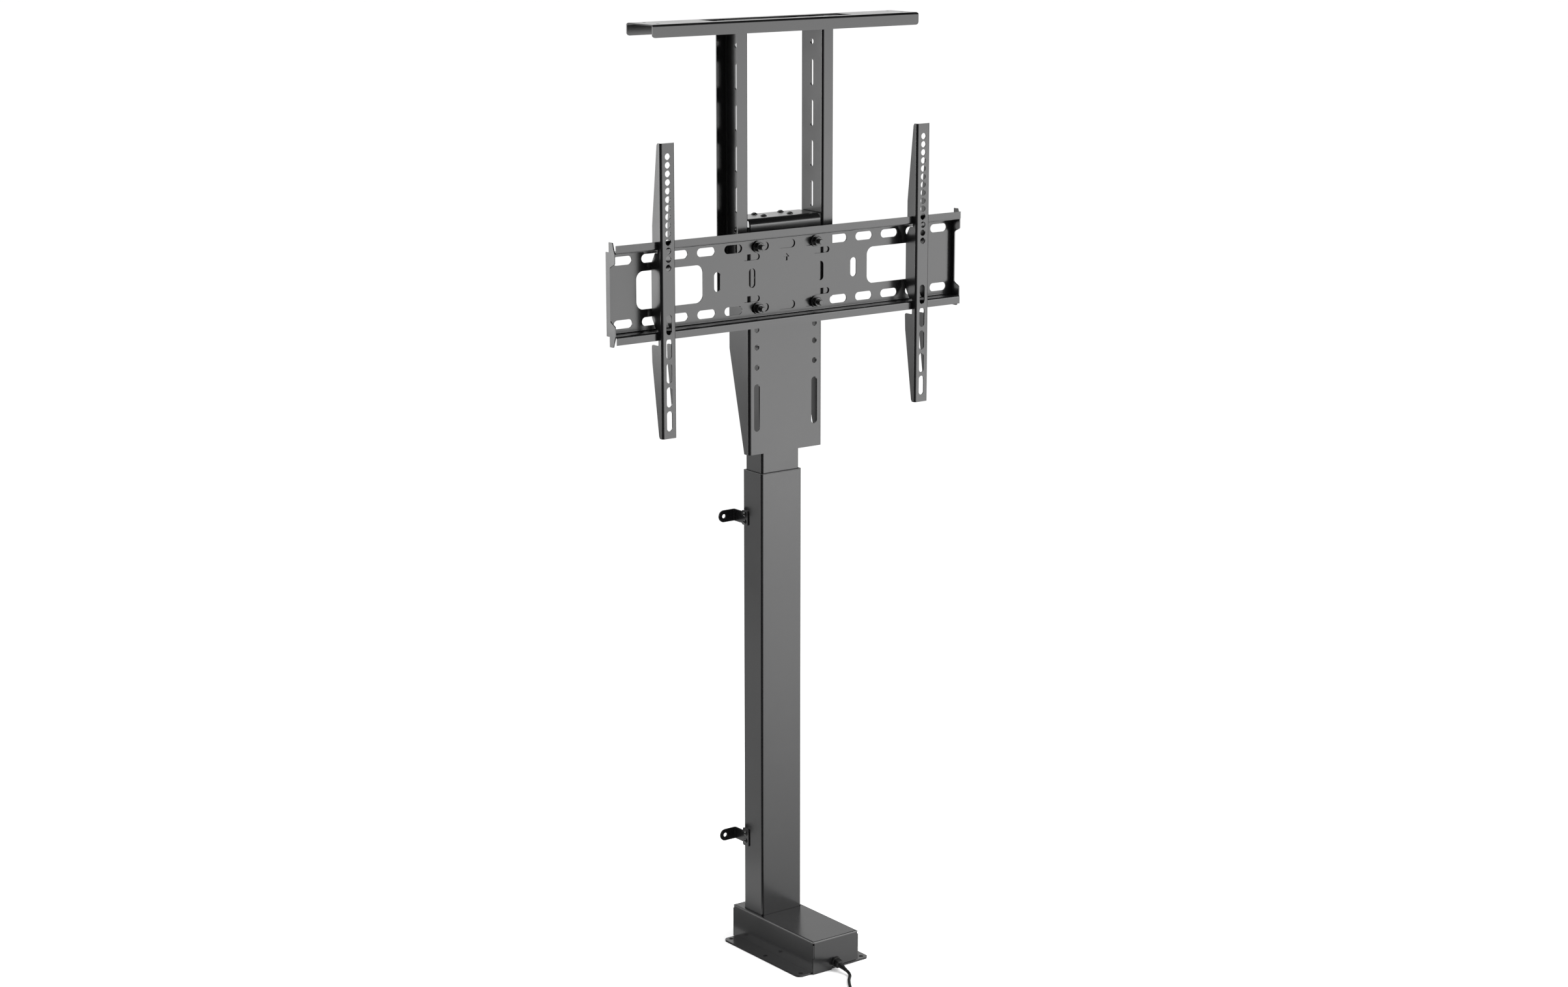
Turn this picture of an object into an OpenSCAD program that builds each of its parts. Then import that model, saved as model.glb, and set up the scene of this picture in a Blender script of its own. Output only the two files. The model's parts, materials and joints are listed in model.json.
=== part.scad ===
// Floor standing lift for a flat screen: a three stage telescopic column on a
// bolted base, a carriage with a slotted plate and two hanging arms, and two
// uprights that carry the lid of the cabinet.
// Millimetres, +Z up, the screen side faces -Y. The origin is the middle of
// the six base screws, on the floor.

/* [Lift] */
// How far each moving stage stands above its lowest place as modelled
stage_raise = 195; // [60:5:300]
// Longest travel of one stage
stage_travel = 500; // [350:10:500]

/* [Column] */
// Distance from the column's axis back to the base plate's rear edge
column_back = 39; // [36:1:45]
// Outer width of the fixed tube
tube_w = 78; // [74:1:82]
// Outer depth of the fixed tube
tube_d = 49; // [46:1:50]
// Wall of every tube
tube_wall = 1.5; // [1.2:0.1:2]
// Gap from one tube to the next, filled by the glides
tube_gap = 1.5; // [1.2:0.1:2]
// Corner radius of the tubes
tube_r = 4; // [3.5:0.5:5]
// Height of the fixed tube's rim above the floor
rim_z = 773.5; // [740:0.5:800]
// Height of each glide ring
glide_h = 38; // [20:1:60]
// Lip of a glide ring over its tube
glide_lip = 1.2; // [0.8:0.1:2]
// Height of the block in each moving tube's foot
foot_block_h = 24; // [24:1:30]
// Height of the threaded block in the top of the inner tube
top_block_h = 20; // [14:1:30]

/* [Base] */
// Width of the base plate, over its two wings
base_w = 140; // [136:1:150]
// Length of the base plate, front to rear
base_l = 200; // [198:1:204]
// Thickness of the base plate
base_t = 3; // [2.5:0.5:4]
// Corner radius of the base plate
base_r = 8; // [4:1:12]
// Distance from the base plate's side to a base screw
anchor_side = 10; // [8:0.5:12]
// Distance from the base plate's end to its end screws
anchor_end = 8; // [7:0.5:14]
// Diameter of the base screw holes
anchor_d = 7; // [5:0.5:8]
// Width of the base cover
cover_w = 89; // [88:1:94]
// How far the cover reaches past each end of the base plate, on average
cover_over = 6; // [5:0.5:8]
// Height of the base cover above the floor
cover_h = 54; // [53:1:60]
// Thickness of the cover's sheet
cover_t = 1.5; // [1:0.1:2]
// Radius of the cover's bends
cover_r = 3; // [2.2:0.1:4]
// How far the front and rear walls stay clear of the floor
cover_floor_gap = 0.6; // [0.4:0.1:1.5]
// Height of the step in the front wall's lower edge
cover_step = 6; // [4:0.5:8]
// How far the cover reaches past the base plate's rear edge, to the wall
wall_over = 8; // [6:0.5:10]

/* [Drive] */
// Radius of the turning screw
screw_r = 7; // [6.5:0.1:7.2]
// Radius of the screw's plain journals
journal_r = 6; // [5:0.1:6.2]
// Outer radius of the hollow screw
hollow_r = 10; // [9.8:0.1:10.5]
// Radial room between the solid and the hollow screw
hollow_room = 0.6; // [0.5:0.1:1]
// Outer radius of the worm wheel
wheel_r = 17.5; // [16:0.1:18]
// Teeth of the worm wheel
wheel_teeth = 30; // [24:1:36]
// Depth of a wheel tooth
tooth_depth = 1.5; // [1:0.1:2]
// Outer radius of the worm
worm_r = 6; // [5:0.1:6.2]
// Length of the worm
worm_len = 28; // [20:1:32]
// Lead of the worm's thread
worm_pitch = 4; // [3:0.5:5]
// Radius of the motor's shaft
shaft_r = 3; // [2.5:0.1:3.5]
// Radius of the motor
motor_r = 18; // [15:0.5:18]
// Length of the motor
motor_len = 66; // [50:1:72]
// Width of the gearbox housing
housing_w = 76; // [72:1:78]
// Length of the gearbox housing
housing_l = 68; // [64:1:70]

/* [Electronics] */
// Width of the power supply
psu_w = 66; // [50:1:72]
// Room round the power supply, front and rear
psu_room = 7.5; // [5:0.5:10]
// Height of the power supply
psu_h = 36; // [20:1:42]
// Width of the control board
board_w = 34; // [26:1:36]
// How much shorter the control board is than the motor
board_short = 6; // [4:1:10]
// Height of the board's posts
post_h = 8; // [5:1:12]

/* [Carriage] */
// Width of the carriage bracket
bracket_w = 140; // [132:1:146]
// Height of the carriage bracket
bracket_h = 362; // [350:1:375]
// Depth of the bracket's side flanges
bracket_d = 50.3; // [46:0.1:54]
// Thickness of the bracket
bracket_t = 2.5; // [2:0.1:3]
// Clearance from the column's front to the bracket
bracket_clear = 7.8; // [6:0.1:12]
// Inner radius of the large bend at the bracket's top
bracket_bend = 8; // [4:0.5:12]
// Height of the slanted part of the side flanges
taper_h = 160; // [120:1:170]
// Depth that the side flanges keep at the bottom
taper_d = 13; // [12:0.5:24]
// Distance between the two columns of bracket holes
bolt_x = 110; // [104:0.5:114]
// Diameter of the round bracket holes
bracket_hole_d = 9; // [8.5:0.1:9.4]
// Length of the long slots near the bracket's foot
long_slot = 73.5; // [40:0.5:80]
// Width of the long slots
long_slot_w = 11; // [9:0.5:12]
// Diameter of the screws in the bracket's top
top_screw_d = 5; // [4:0.5:6]
// Distance between the top screws, side to side
top_screw_x = 50; // [44:1:50]
// Distance between the top screws, front to rear
top_screw_y = 24; // [20:1:24]

/* [Uprights] */
// Depth of an upright, over its flanges
upright_d = 54; // [48:0.5:54]
// Thickness of an upright
upright_t = 2; // [1.5:0.1:2.5]
// Width of an upright's flanges
upright_flange = 20; // [16:0.5:22]
// Clearance from the screen plate to an upright
upright_gap = 0.4; // [0.3:0.1:0.6]
// Length of the slots in an upright
upright_slot = 39.5; // [36:0.5:44]
// Width of the slots in an upright
upright_slot_w = 7; // [6.4:0.1:8]
// Pitch of the slots in an upright
upright_pitch = 61.5; // [58:0.5:66]
// Diameter of the bolts that hold the uprights
side_bolt_d = 6; // [5:0.5:6]
// Distance from the bracket's top down to the upper side bolt
side_bolt_drop = 19.7; // [18:0.1:24]
// Distance from a slot's middle up to its bolt
slot_offset = 14.8; // [10:0.1:15]

/* [Lid plate] */
// Length of the lid plate
lid_w = 497; // [450:1:560]
// Depth of the lid plate
lid_d = 67.6; // [66:0.1:74]
// Thickness of the lid plate
lid_t = 2; // [1.5:0.1:2.5]
// Height of the lid plate's lips
lid_lip = 19; // [12:0.5:24]
// Height of the lid plate's top above the bracket's top
lid_rise = 297; // [270:1:330]
// Length of the cable opening
lid_open_w = 260; // [230:1:280]
// Depth of the cable opening
lid_open_d = 38; // [30:0.5:42]
// Corner radius of the cable opening
lid_open_r = 3; // [2:0.5:6]
// Distance from the lid plate's end to its screw holes
lid_hole_end = 20.5; // [12:0.5:30]
// Distance between the lid screw holes, front to rear
lid_hole_y = 35; // [25:1:40]
// Diameter of the lid screw holes
lid_hole_d = 5.5; // [4:0.1:7]
// Width of the straps under the lid plate
strap_w = 20; // [14:1:26]
// Thickness of the straps
strap_t = 2; // [1.5:0.1:2.5]

/* [Screen plate] */
// Length of the screen plate
plate_w = 656; // [640:1:700]
// Height of the screen plate, over its lips
plate_h = 146; // [140:0.5:150]
// Thickness of the screen plate
plate_t = 1.8; // [1.5:0.1:2]
// Depth of the rails
rail_d = 25; // [23:0.1:27]
// Height of the lips on the rails
lip_h = 11; // [9:0.5:12]
// Height of the plate's middle, below the bracket's top
plate_drop = 88.5; // [84:0.5:100]
// Least room from a row's last slot to the plate's end
slot_end = 8; // [6:1:11]
// Pitch of the slots in a row
slot_pitch = 50; // [48:0.5:52]
// Length of a slot
slot_w = 33; // [30:0.5:36]
// Height of a slot
slot_h = 13; // [11:0.5:14]
// Distance between the two rows of slots
row_gap = 93.6; // [90:0.1:96]
// Width of each window
window_w = 120; // [100:1:124]
// Height of each window
window_h = 57; // [40:1:60]
// Distance from the middle to a window's middle
window_x = 216; // [210:1:220]
// Corner radius of the windows
window_r = 12; // [4:0.5:16]
// Depth of the end flanges between the rails
end_flange_d = 10; // [8:0.5:14]

/* [Screen bolts] */
// Diameter of the screen bolts
screen_bolt_d = 8; // [6:0.5:8]
// Diameter of the washers
washer_d = 18; // [16:0.5:20]
// Thickness of the washers
washer_t = 2.5; // [1.5:0.1:3]
// Width of the nuts across their flats
nut_af = 13; // [12.5:0.1:14]
// Height of the nuts
nut_h = 6.5; // [5:0.1:8]
// How far a bolt's end stands out of its nut
bolt_end = 7; // [3:0.5:10]

/* [Arms] */
// Width of an arm
arm_w = 26; // [24:0.5:32]
// Thickness of an arm's sheet
arm_t = 2; // [1.5:0.1:2.5]
// Distance between the arms
arm_gap = 482; // [420:1:500]
// Height of an arm above the top lip
arm_up = 144; // [120:1:200]
// Length of an arm
arm_len = 437; // [420:1:520]
// Distance from a lip's front to the front of an arm
arm_stand = 9.7; // [8:0.1:12]
// Depth of an arm at its hooks
hook_d = 25.5; // [24:0.1:27]
// Depth of an arm just above its hook
arm_neck_d = 22.5; // [20:0.1:24]
// Depth of an arm at its top
arm_top_d = 9.5; // [8.5:0.1:18]
// Depth of an arm at its foot
arm_foot_d = 9.5; // [8.5:0.1:18]
// How much shallower an arm's right side is away from the hooks
arm_far_cut = 4.5; // [0:0.1:5]
// Diameter of the screen holes
vesa_d = 9.8; // [6:0.1:10]
// Pitch of the screen holes
vesa_pitch = 12.5; // [11:0.1:12.5]
// Number of screen holes in an arm
vesa_count = 14; // [8:1:14]
// Distance from an arm's top to its first hole
vesa_top = 19.6; // [12:0.1:20]
// Length of the slots low in an arm
arm_slot = 30.4; // [20:0.1:32]
// Width of the slots low in an arm
arm_slot_w = 10; // [6:0.1:11]
// Pitch of the slots low in an arm
arm_slot_pitch = 36.1; // [34:0.1:38]
// Number of slots low in an arm
arm_slot_count = 5; // [3:1:5]

/* [Wall tabs] */
// Height of the lower wall tab holes
tab_low_z = 175; // [150:1:220]
// Height of the upper wall tab holes
tab_high_z = 697.5; // [640:0.5:710]
// Height of a tab's strip
tab_h = 19; // [16:0.5:24]
// Height of the lower pads, screwed to the column
tab_low_pad = 29; // [24:1:36]
// Height of the upper pads, screwed to the column
tab_high_pad = 23; // [22:1:30]
// Length of those pads
tab_pad_l = 15; // [12:0.5:20]
// Thickness of a tab
tab_t = 2; // [1.5:0.1:3]
// Distance from the column's side out to the wall screw
tab_reach = 20.5; // [16:0.5:24]
// Diameter of the wall screw hole
tab_hole_d = 6.6; // [5:0.1:8]

/* [Cord] */
// Diameter of the mains cord
cord_d = 5; // [5:0.5:5]
// Height of the cord's outlet in the front wall
gland_z = 13; // [12:0.5:15]
// Length of the tapered strain relief
boot_len = 26; // [26:1:26]
// Downward tilt of the strain relief
boot_tilt = 15; // [15:1:15]

/* [Fits] */
// Radial clearance of a running or seated round fit
fit = 0.05; // [0.02:0.01:0.08]
// Clearance of a sliding flat face
slide = 0.05; // [0.02:0.01:0.08]
// Clearance round a piece that only passes through a cut
pass = 0.5; // [0.3:0.1:1]

/* [Hidden] */
$fn = 48;

steel_black = [0.17, 0.17, 0.18];
steel_dark = [0.08, 0.08, 0.09];
steel_bright = [0.7, 0.71, 0.72];
alloy = [0.55, 0.56, 0.57];
brass = [0.72, 0.6, 0.32];
glide_white = [0.82, 0.82, 0.78];
rubber = [0.06, 0.06, 0.06];

// Places of the column and of the base screws
column_y = base_l / 2 - column_back;
anchor_x = base_w - 2 * anchor_side;
anchor_pitch = base_l / 2 - anchor_end;

// Tubes, from the outside in
step = 2 * (tube_wall + tube_gap);
tube_size = [for (i = [0:2]) [tube_w - i * step, tube_d - i * step]];
cavity = [for (s = tube_size) [s[0] - 2 * tube_wall, s[1] - 2 * tube_wall]];
cavity_r = tube_r - tube_wall;

// Heights in the base
foot_t = 4;
foot_margin = 9;
cover_air = 1.5;
housing_top = cover_h - cover_t - cover_air - foot_t;
foot_top = housing_top + foot_t;
housing_floor = 5;
cavity_floor = base_t + housing_floor;
bearing_h = 6;
hub_h = 7;
hub_r = 9;
wheel_h = 12;
cap_h = 7;
cap_r = 24;
hub_z = cavity_floor + bearing_h + slide;
wheel_z = hub_z + hub_h;
worm_z = wheel_z + wheel_h / 2;
worm_x = -(wheel_r + worm_r + 0.3);
cover_l = base_l + 2 * cover_over;
wall_y = base_l / 2 + wall_over;
cover_y = wall_y - cover_l / 2;
front_y = cover_y - cover_l / 2;
housing_front = column_y - housing_l / 2;
gear_room = 0.7;

// Heights of the stages when they are down, and as modelled
floor_gap = 11;
collar_h = 3;
collar_air = 2;
block_step = foot_block_h + collar_h + collar_air;
middle_low = foot_top + floor_gap;
inner_low = middle_low + block_step;
tube_top = rim_z - glide_lip;
middle_top_low = rim_z + 0.5;
inner_top_low = middle_top_low + glide_lip + 3;
middle_len = middle_top_low - middle_low;
inner_len = inner_top_low - inner_low;
middle_z = middle_low + stage_raise;
inner_z = inner_low + 2 * stage_raise;
inner_top = inner_z + inner_len;

// Nuts and bearings in the foot blocks
drive_nut_r = 13;
drive_nut_h = 12;
shoulder_h = 2;
hollow_bearing_r = 16;
hollow_nut_r = 14;
hollow_nut_h = 14;
collar_r = 13;
screw_spare = 20;
drive_screw_top = middle_low + stage_travel + drive_nut_h + screw_spare;
hollow_low = drive_nut_h + shoulder_h + slide;
hollow_len = block_step + stage_travel + foot_block_h + screw_spare - hollow_low;

// Carriage
bracket_top = inner_top + bracket_t;
bracket_z = bracket_top - bracket_h;
bracket_front = column_y - tube_d / 2 - bracket_clear - bracket_t;
plate_z = bracket_top - plate_drop;
plate_front = bracket_front - plate_t;
lip_front = bracket_front - rail_d;
lip_top = plate_z + plate_h / 2;
lip_low = plate_z - plate_h / 2;
rail_top = lip_top - lip_h;
rail_low = lip_low + lip_h;
row_z = [plate_z - row_gap / 2, plate_z + row_gap / 2];
slot_reach = floor((plate_w / 2 - slot_end - slot_w / 2) / slot_pitch);
bracket_hole_z = [for (rise = [135, 166, 193]) bracket_z + rise];
long_slot_z = bracket_z + 72.5;

// Uprights and lid
upright_y = bracket_front + upright_gap + upright_d / 2;
lid_top = bracket_top + lid_rise;
lid_under = lid_top - lid_t;
upright_top = lid_under - strap_t;
side_bolt_z = [bracket_top - side_bolt_drop, bracket_top - side_bolt_drop - upright_pitch];
low_slot_z = side_bolt_z[1] - slot_offset;
upright_end = 15;
upright_z = low_slot_z - upright_slot / 2 - upright_end;
upright_head = 60;
slot_room = upright_top - upright_head - upright_slot / 2 - low_slot_z;
upright_slots = 1 + floor(slot_room / upright_pitch);
web_hole_drop = 35;
web_hole_d = 8;
side_nut_h = 5;
tab_out = 34;
tab_w = 30;
lid_y = upright_y - 3.8;
lid_hole_x = lid_w - 2 * lid_hole_end;
strap_x = bracket_w / 2 + upright_t + 22;
strap_screw_d = 4;

// Arms
arm_front = lip_front - arm_stand;
arm_x = arm_gap / 2;
arm_top = lip_top + arm_up;
arm_z = arm_top - arm_len;
arm_slot_rise = 26.2;
lip_room = 0.6;
tongue_room = 1.3;
tongue_y = lip_front + plate_t + tongue_room;

// Cord: its way along the floor, chosen by hand, and its put away coil
cord_r = cord_d / 2;
cord_heading = 237;
cord_u = [cos(cord_heading), sin(cord_heading), 0];
boot_axis = [0, -cos(boot_tilt), -sin(boot_tilt)];
boot_start = [0, front_y, gland_z];
boot_end = boot_start + boot_len * boot_axis;
coil_x = -49;
coil_y = -281;
coil_turns = 7;
coil_mid_r = 30;
coil_step = 5.8;
coil_layer = 5.8;
coil_rings = 24;
coil_sides = 6;
coil_angle = cord_heading - 90;
coil_out_r = coil_mid_r + coil_step * coil_turns / 4;
coil_in_r = coil_mid_r - coil_step * coil_turns / 4;
tie_t = 0.9;
tie_room = 0.2;
coil_z = cord_r + tie_t + tie_room;
coil_start = coil_point(0) - cord_d * cord_u;
coil_end = coil_point(coil_turns) + cord_d * cord_u;
plug_z = 8;
tail_len = 34;
plug_at = [coil_end[0] + tail_len * cord_u[0], coil_end[1] + tail_len * cord_u[1], plug_z];
lead_route = [
    boot_end,
    boot_end + 6 * boot_axis,
    [-1.2, -140, 3.4],
    [-3.8, -144.8, 2.8],
    [-7.4, -149, 2.5],
    [-11.6, -153.2, 2.5],
    [-15.6, -157.6, 2.5],
    [-20, -163.4, 2.5],
    [-26, -172, 2.5],
    [-33.8, -184, 2.5],
    [-41.6, -196, 2.5],
    [-49.4, -208, 2.5],
    [-57.2, -220, 2.5],
    [-65, -232, 2.8],
    [-72, -243, 3.3],
    coil_start - cord_d * cord_u,
    coil_start
];
tail_route = [
    coil_end,
    coil_end + cord_d * cord_u,
    coil_end + 12 * cord_u - [0, 0, 0.4],
    coil_end + 20 * cord_u - [0, 0, 0.9],
    [plug_at[0], plug_at[1], plug_z] - cord_d * cord_u,
    plug_at
];

// Turns from the middle of the coil's reversal, as a share from 1 to 0 to 1
function coil_share(t) = abs(t - coil_turns / 2) / (coil_turns / 2);
// The climb to the second layer takes half a turn, centred on the reversal
function coil_climb(t) = min(1, max(0, 2 * (t - coil_turns / 2) + 0.5));
function coil_point(t) =
    let (r = coil_in_r + (coil_out_r - coil_in_r) * coil_share(t), a = coil_angle + 360 * t)
    [coil_x + r * cos(a), coil_y + r * sin(a), coil_z + coil_layer * coil_climb(t)];
coil_route = concat(
    [coil_start],
    [for (i = [0:coil_turns * coil_rings]) coil_point(i / coil_rings)],
    [coil_end]
);
coil_gap = min([
    for (i = [0:coil_turns * coil_rings], j = [i + coil_rings / 2:1:coil_turns * coil_rings])
        norm(coil_point(i / coil_rings) - coil_point(j / coil_rings))
]) - cord_d;
function path_len(p, i = 0) = i >= len(p) - 1 ? 0 : norm(p[i + 1] - p[i]) + path_len(p, i + 1);
echo(coil_least_gap = coil_gap);
echo(cord_length = path_len(lead_route) + path_len(coil_route) + path_len(tail_route));

function unit(v) = v / norm(v);
// Outline with its corners rounded: each point is [x, y, radius]
function rounded(p, n = 6) = [
    for (i = [0:len(p) - 1])
        let (
            c = [p[i][0], p[i][1]],
            a = p[(i + len(p) - 1) % len(p)],
            b = p[(i + 1) % len(p)],
            r = p[i][2]
        )
        each r == 0 ? [c] : arc_in([a[0], a[1]], c, [b[0], b[1]], r, n)
];
// Points of the arc of radius r that rounds the corner c between a and b
function arc_in(a, c, b, r, n) =
    let (
        u = unit(a - c),
        v = unit(b - c),
        half = acos(u * v) / 2,
        m = c + unit(u + v) * r / sin(half),
        d = c + u * r / tan(half) - m,
        e = c + v * r / tan(half) - m,
        from = atan2(d[1], d[0]),
        sweep = atan2(d[0] * e[1] - d[1] * e[0], d * e)
    )
    [for (k = [0:n]) m + r * [cos(from + sweep * k / n), sin(from + sweep * k / n)]];

// A solid swept along a route: rings of n points, joined by triangles
function tangent(p, i) =
    i == 0 ? unit(p[1] - p[0])
    : i == len(p) - 1 ? unit(p[i] - p[i - 1])
    : unit(unit(p[i + 1] - p[i]) + unit(p[i] - p[i - 1]));
module swept(p, r, n) {
    pts = [
        for (i = [0:len(p) - 1])
            let (t = tangent(p, i), s = unit(cross(t, [0, 0, 1])), w = cross(s, t))
            for (k = [0:n - 1])
                let (a = 360 * (k + 0.5) / n)
                p[i] + r * cos(a) * s + r * sin(a) * w
    ];
    last = n * (len(p) - 1);
    sides = [
        for (i = [0:len(p) - 2], k = [0:n - 1])
            let (a = i * n + k, b = i * n + (k + 1) % n)
            each [[a, b, b + n], [a, b + n, a + n]]
    ];
    caps = [
        for (k = [1:n - 2])
            each [[0, k + 1, k], [last, last + k, last + k + 1]]
    ];
    polyhedron(pts, concat(sides, caps));
}

module rrect(x, y, r) {
    square([x - 2 * r, y], center = true);
    square([x, y - 2 * r], center = true);
    for (i = [-1, 1], j = [-1, 1])
        translate([i * (x / 2 - r), j * (y / 2 - r)]) circle(r);
}
module slot2d(l, w) {
    square([l - w, w], center = true);
    for (i = [-1, 1]) translate([i * (l - w) / 2, 0]) circle(w / 2);
}
module along_x(l) rotate([90, 0, 90]) linear_extrude(l, center = true) children();
module along_y(l) rotate([90, 0, 0]) linear_extrude(l, center = true) children();
module ring_tube(size, r, hole, hole_r, h) {
    linear_extrude(h) difference() {
        rrect(size[0], size[1], r);
        rrect(hole[0], hole[1], hole_r);
    }
}
// A bent sheet seen on edge: its middle line runs through square corners
module bent_sheet(p, t, ri) {
    rm = ri + t / 2;
    n = len(p);
    for (i = [0:n - 2]) {
        d = unit(p[i + 1] - p[i]);
        a = p[i] + d * (i == 0 ? 0 : rm);
        b = p[i + 1] - d * (i == n - 2 ? 0 : rm);
        translate((a + b) / 2)
            square([abs(b[0] - a[0]) + abs(d[1]) * t, abs(b[1] - a[1]) + abs(d[0]) * t], center = true);
    }
    for (i = [1:n - 2]) {
        s = unit(p[i - 1] - p[i]) + unit(p[i + 1] - p[i]);
        translate(p[i] + rm * s) intersection() {
            difference() {
                circle(rm + t / 2);
                circle(rm - t / 2);
            }
            translate(-s * (rm + t) / 2) square(rm + t, center = true);
        }
    }
}
// Button head screw, its seat at z = 0 and its shank below
module button_screw(d, l, head = 1.9) {
    difference() {
        union() {
            cylinder(d = head * d, h = 0.3 * d);
            translate([0, 0, 0.3 * d]) cylinder(d1 = head * d, d2 = 1.2 * d, h = 0.3 * d);
            translate([0, 0, -l]) cylinder(d = d, h = l);
        }
        translate([0, 0, 0.25 * d]) cylinder(d = 0.7 * d, h = d, $fn = 6);
    }
}
// Countersunk screw from below, its head flush with z = 0
module sunk_screw(d, l) {
    cylinder(d1 = 2 * d, d2 = d, h = d / 2);
    cylinder(d = d, h = l);
}
module sunk_hole(d, h) {
    translate([0, 0, -0.01]) cylinder(d1 = 2 * d + 0.2, d2 = d + 0.2, h = d / 2);
    translate([0, 0, -1]) cylinder(d = d + 2 * fit, h = h + 1);
}

// Base
foot_x = cover_w / 2 - cover_t - 7;
foot_l = 12;
seam_w = 0.6;
relief_r = 1.8;
foot_ys = [front_y + 14, 0];
cover_screw_d = 4;
cover_foot_t = 2;
housing_screw_d = 4;
housing_screw_at = [
    for (i = [-1, 1], j = [-1, 1])
        [i * (housing_w / 2 - 6), column_y + j * (housing_l / 2 - 5)]
];
post_r = 3;
board_x = cover_w / 2 - cover_t - 3 - board_w / 2;
board_l = motor_len - board_short;
board_y = housing_front - board_short - board_l / 2;
board_t = 1.6;
post_at = [
    for (i = [-1, 1], j = [-1, 1])
        [board_x + i * (board_w / 2 - 4), board_y + j * (board_l / 2 - 4)]
];
psu_front = foot_ys[0] + psu_room;
psu_rear = housing_front - motor_len - psu_room;
psu_y = (psu_front + psu_rear) / 2;
psu_d = psu_rear - psu_front;

module base_plate() {
    color(steel_black) difference() {
        linear_extrude(base_t) difference() {
            rrect(base_w, base_l, base_r);
            for (i = [-1, 1], j = [-1, 0, 1])
                translate([i * anchor_x / 2, j * anchor_pitch]) circle(d = anchor_d);
        }
        for (i = [-1, 1], y = foot_ys) translate([i * foot_x, y, 0]) sunk_hole(cover_screw_d, base_t + 1);
        for (p = housing_screw_at) translate([p[0], p[1], 0]) sunk_hole(housing_screw_d, base_t + 1);
    }
}

module cover_block(w, l, h, r) {
    intersection() {
        translate([0, 0, -1]) linear_extrude(h + 1) rrect(w, l, 0.5);
        along_x(w + 2) translate([0, h / 2 - 10]) rrect(l, h + 20, r);
        along_y(l + 2) translate([0, h / 2 - 10]) rrect(w, h + 20, r);
    }
}
module base_cover() {
    color(steel_black) {
        difference() {
            translate([0, cover_y, 0]) cover_block(cover_w, cover_l, cover_h, cover_r);
            translate([0, cover_y, 0])
                cover_block(
                    cover_w - 2 * cover_t, cover_l - 2 * cover_t,
                    cover_h - cover_t, cover_r - cover_t
                );
            translate([0, cover_y, cover_floor_gap - 50])
                cube([cover_w + 9, cover_l + 9, 100], center = true);
            translate([0, 0, base_t - 50]) cube([cover_w + 9, base_l + 0.6, 100], center = true);
            translate([cover_w / 2 - 8, front_y, 0])
                cube([cover_w, 8, 2 * cover_step], center = true);
            translate([0, column_y, cover_h - 10])
                linear_extrude(20) rrect(tube_w + 2 * pass, tube_d + 2 * pass, tube_r);
            translate([0, front_y, gland_z]) along_y(9) circle(neck_r + fit);
            for (i = [0, 1], j = [0, 1]) mirror([i, 0, 0])
                translate([cover_w / 2, cover_y, 0]) mirror([0, j, 0])
                    translate([0, cover_l / 2, 0]) corner_seam();
        }
        for (i = [-1, 1], y = foot_ys) cover_foot(i, y);
    }
}
// Open seam of two bent walls at an upright corner: the side wall laps the end wall
// above, the end wall laps the side wall below, and a round relief ends the seam
module corner_seam() {
    lap_z = cover_h * 0.48;
    top_z = cover_h - cover_r;
    reach = cover_t + 0.5;
    translate([-cover_t - seam_w, -reach, lap_z]) cube([seam_w, reach + 1, top_z - lap_z]);
    translate([-reach, -cover_t - seam_w, -1]) cube([reach + 1, seam_w, lap_z + 1 + seam_w]);
    translate([-reach, -reach, lap_z]) cube([reach + 1, reach + 1, seam_w]);
    translate([-cover_t / 2, -cover_t / 2, top_z - 3]) cylinder(r = relief_r, h = 4);
}
// A foot bent in from a side wall, for the screw that comes up through the base
module cover_foot(i, y) {
    wall_x = cover_w / 2 - cover_t / 2;
    difference() {
        translate([i * (wall_x + foot_x - 6) / 2, y, base_t + cover_foot_t / 2])
            cube([wall_x - foot_x + 6, foot_l, cover_foot_t], center = true);
        translate([i * foot_x, y, 0]) cylinder(d = cover_screw_d + 2 * fit, h = 20);
    }
}
module cover_screws() {
    color(steel_bright)
        for (i = [-1, 1], y = foot_ys)
            translate([i * foot_x, y, 0]) sunk_screw(cover_screw_d, base_t + cover_foot_t + 1);
}

// Gearbox and motor
module gear_housing() {
    color(alloy) difference() {
        translate([0, column_y, base_t]) linear_extrude(housing_top - base_t) rrect(housing_w, housing_l, 4);
        translate([0, column_y, cavity_floor]) cylinder(r = wheel_r + gear_room, h = 60);
        translate([0, column_y, housing_top - cap_h]) cylinder(r = cap_r + fit, h = 20);
        translate([0, column_y, base_t + 1]) cylinder(r = journal_r + fit, h = 20);
        translate([worm_x, column_y, worm_z]) along_y(worm_len + 8) circle(worm_r + gear_room);
        translate([worm_x, column_y - 4, worm_z]) along_y(housing_l) circle(shaft_r + fit);
        for (p = housing_screw_at) {
            translate([p[0], p[1], 0]) cylinder(d = housing_screw_d + 2 * fit, h = base_t + 13);
            translate([p[0], p[1], housing_top - 13]) cylinder(d = housing_screw_d + 2 * fit, h = 20);
        }
    }
}
module gear_cap() {
    color(alloy) difference() {
        translate([0, column_y, housing_top - cap_h]) cylinder(r = cap_r, h = cap_h);
        translate([0, column_y, 0]) cylinder(r = journal_r + fit, h = 100);
    }
}
module thrust_bearing() {
    color(steel_bright) translate([0, column_y, cavity_floor]) difference() {
        cylinder(r = 12, h = bearing_h);
        translate([0, 0, -1]) cylinder(r = journal_r + fit, h = bearing_h + 2);
    }
}
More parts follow.
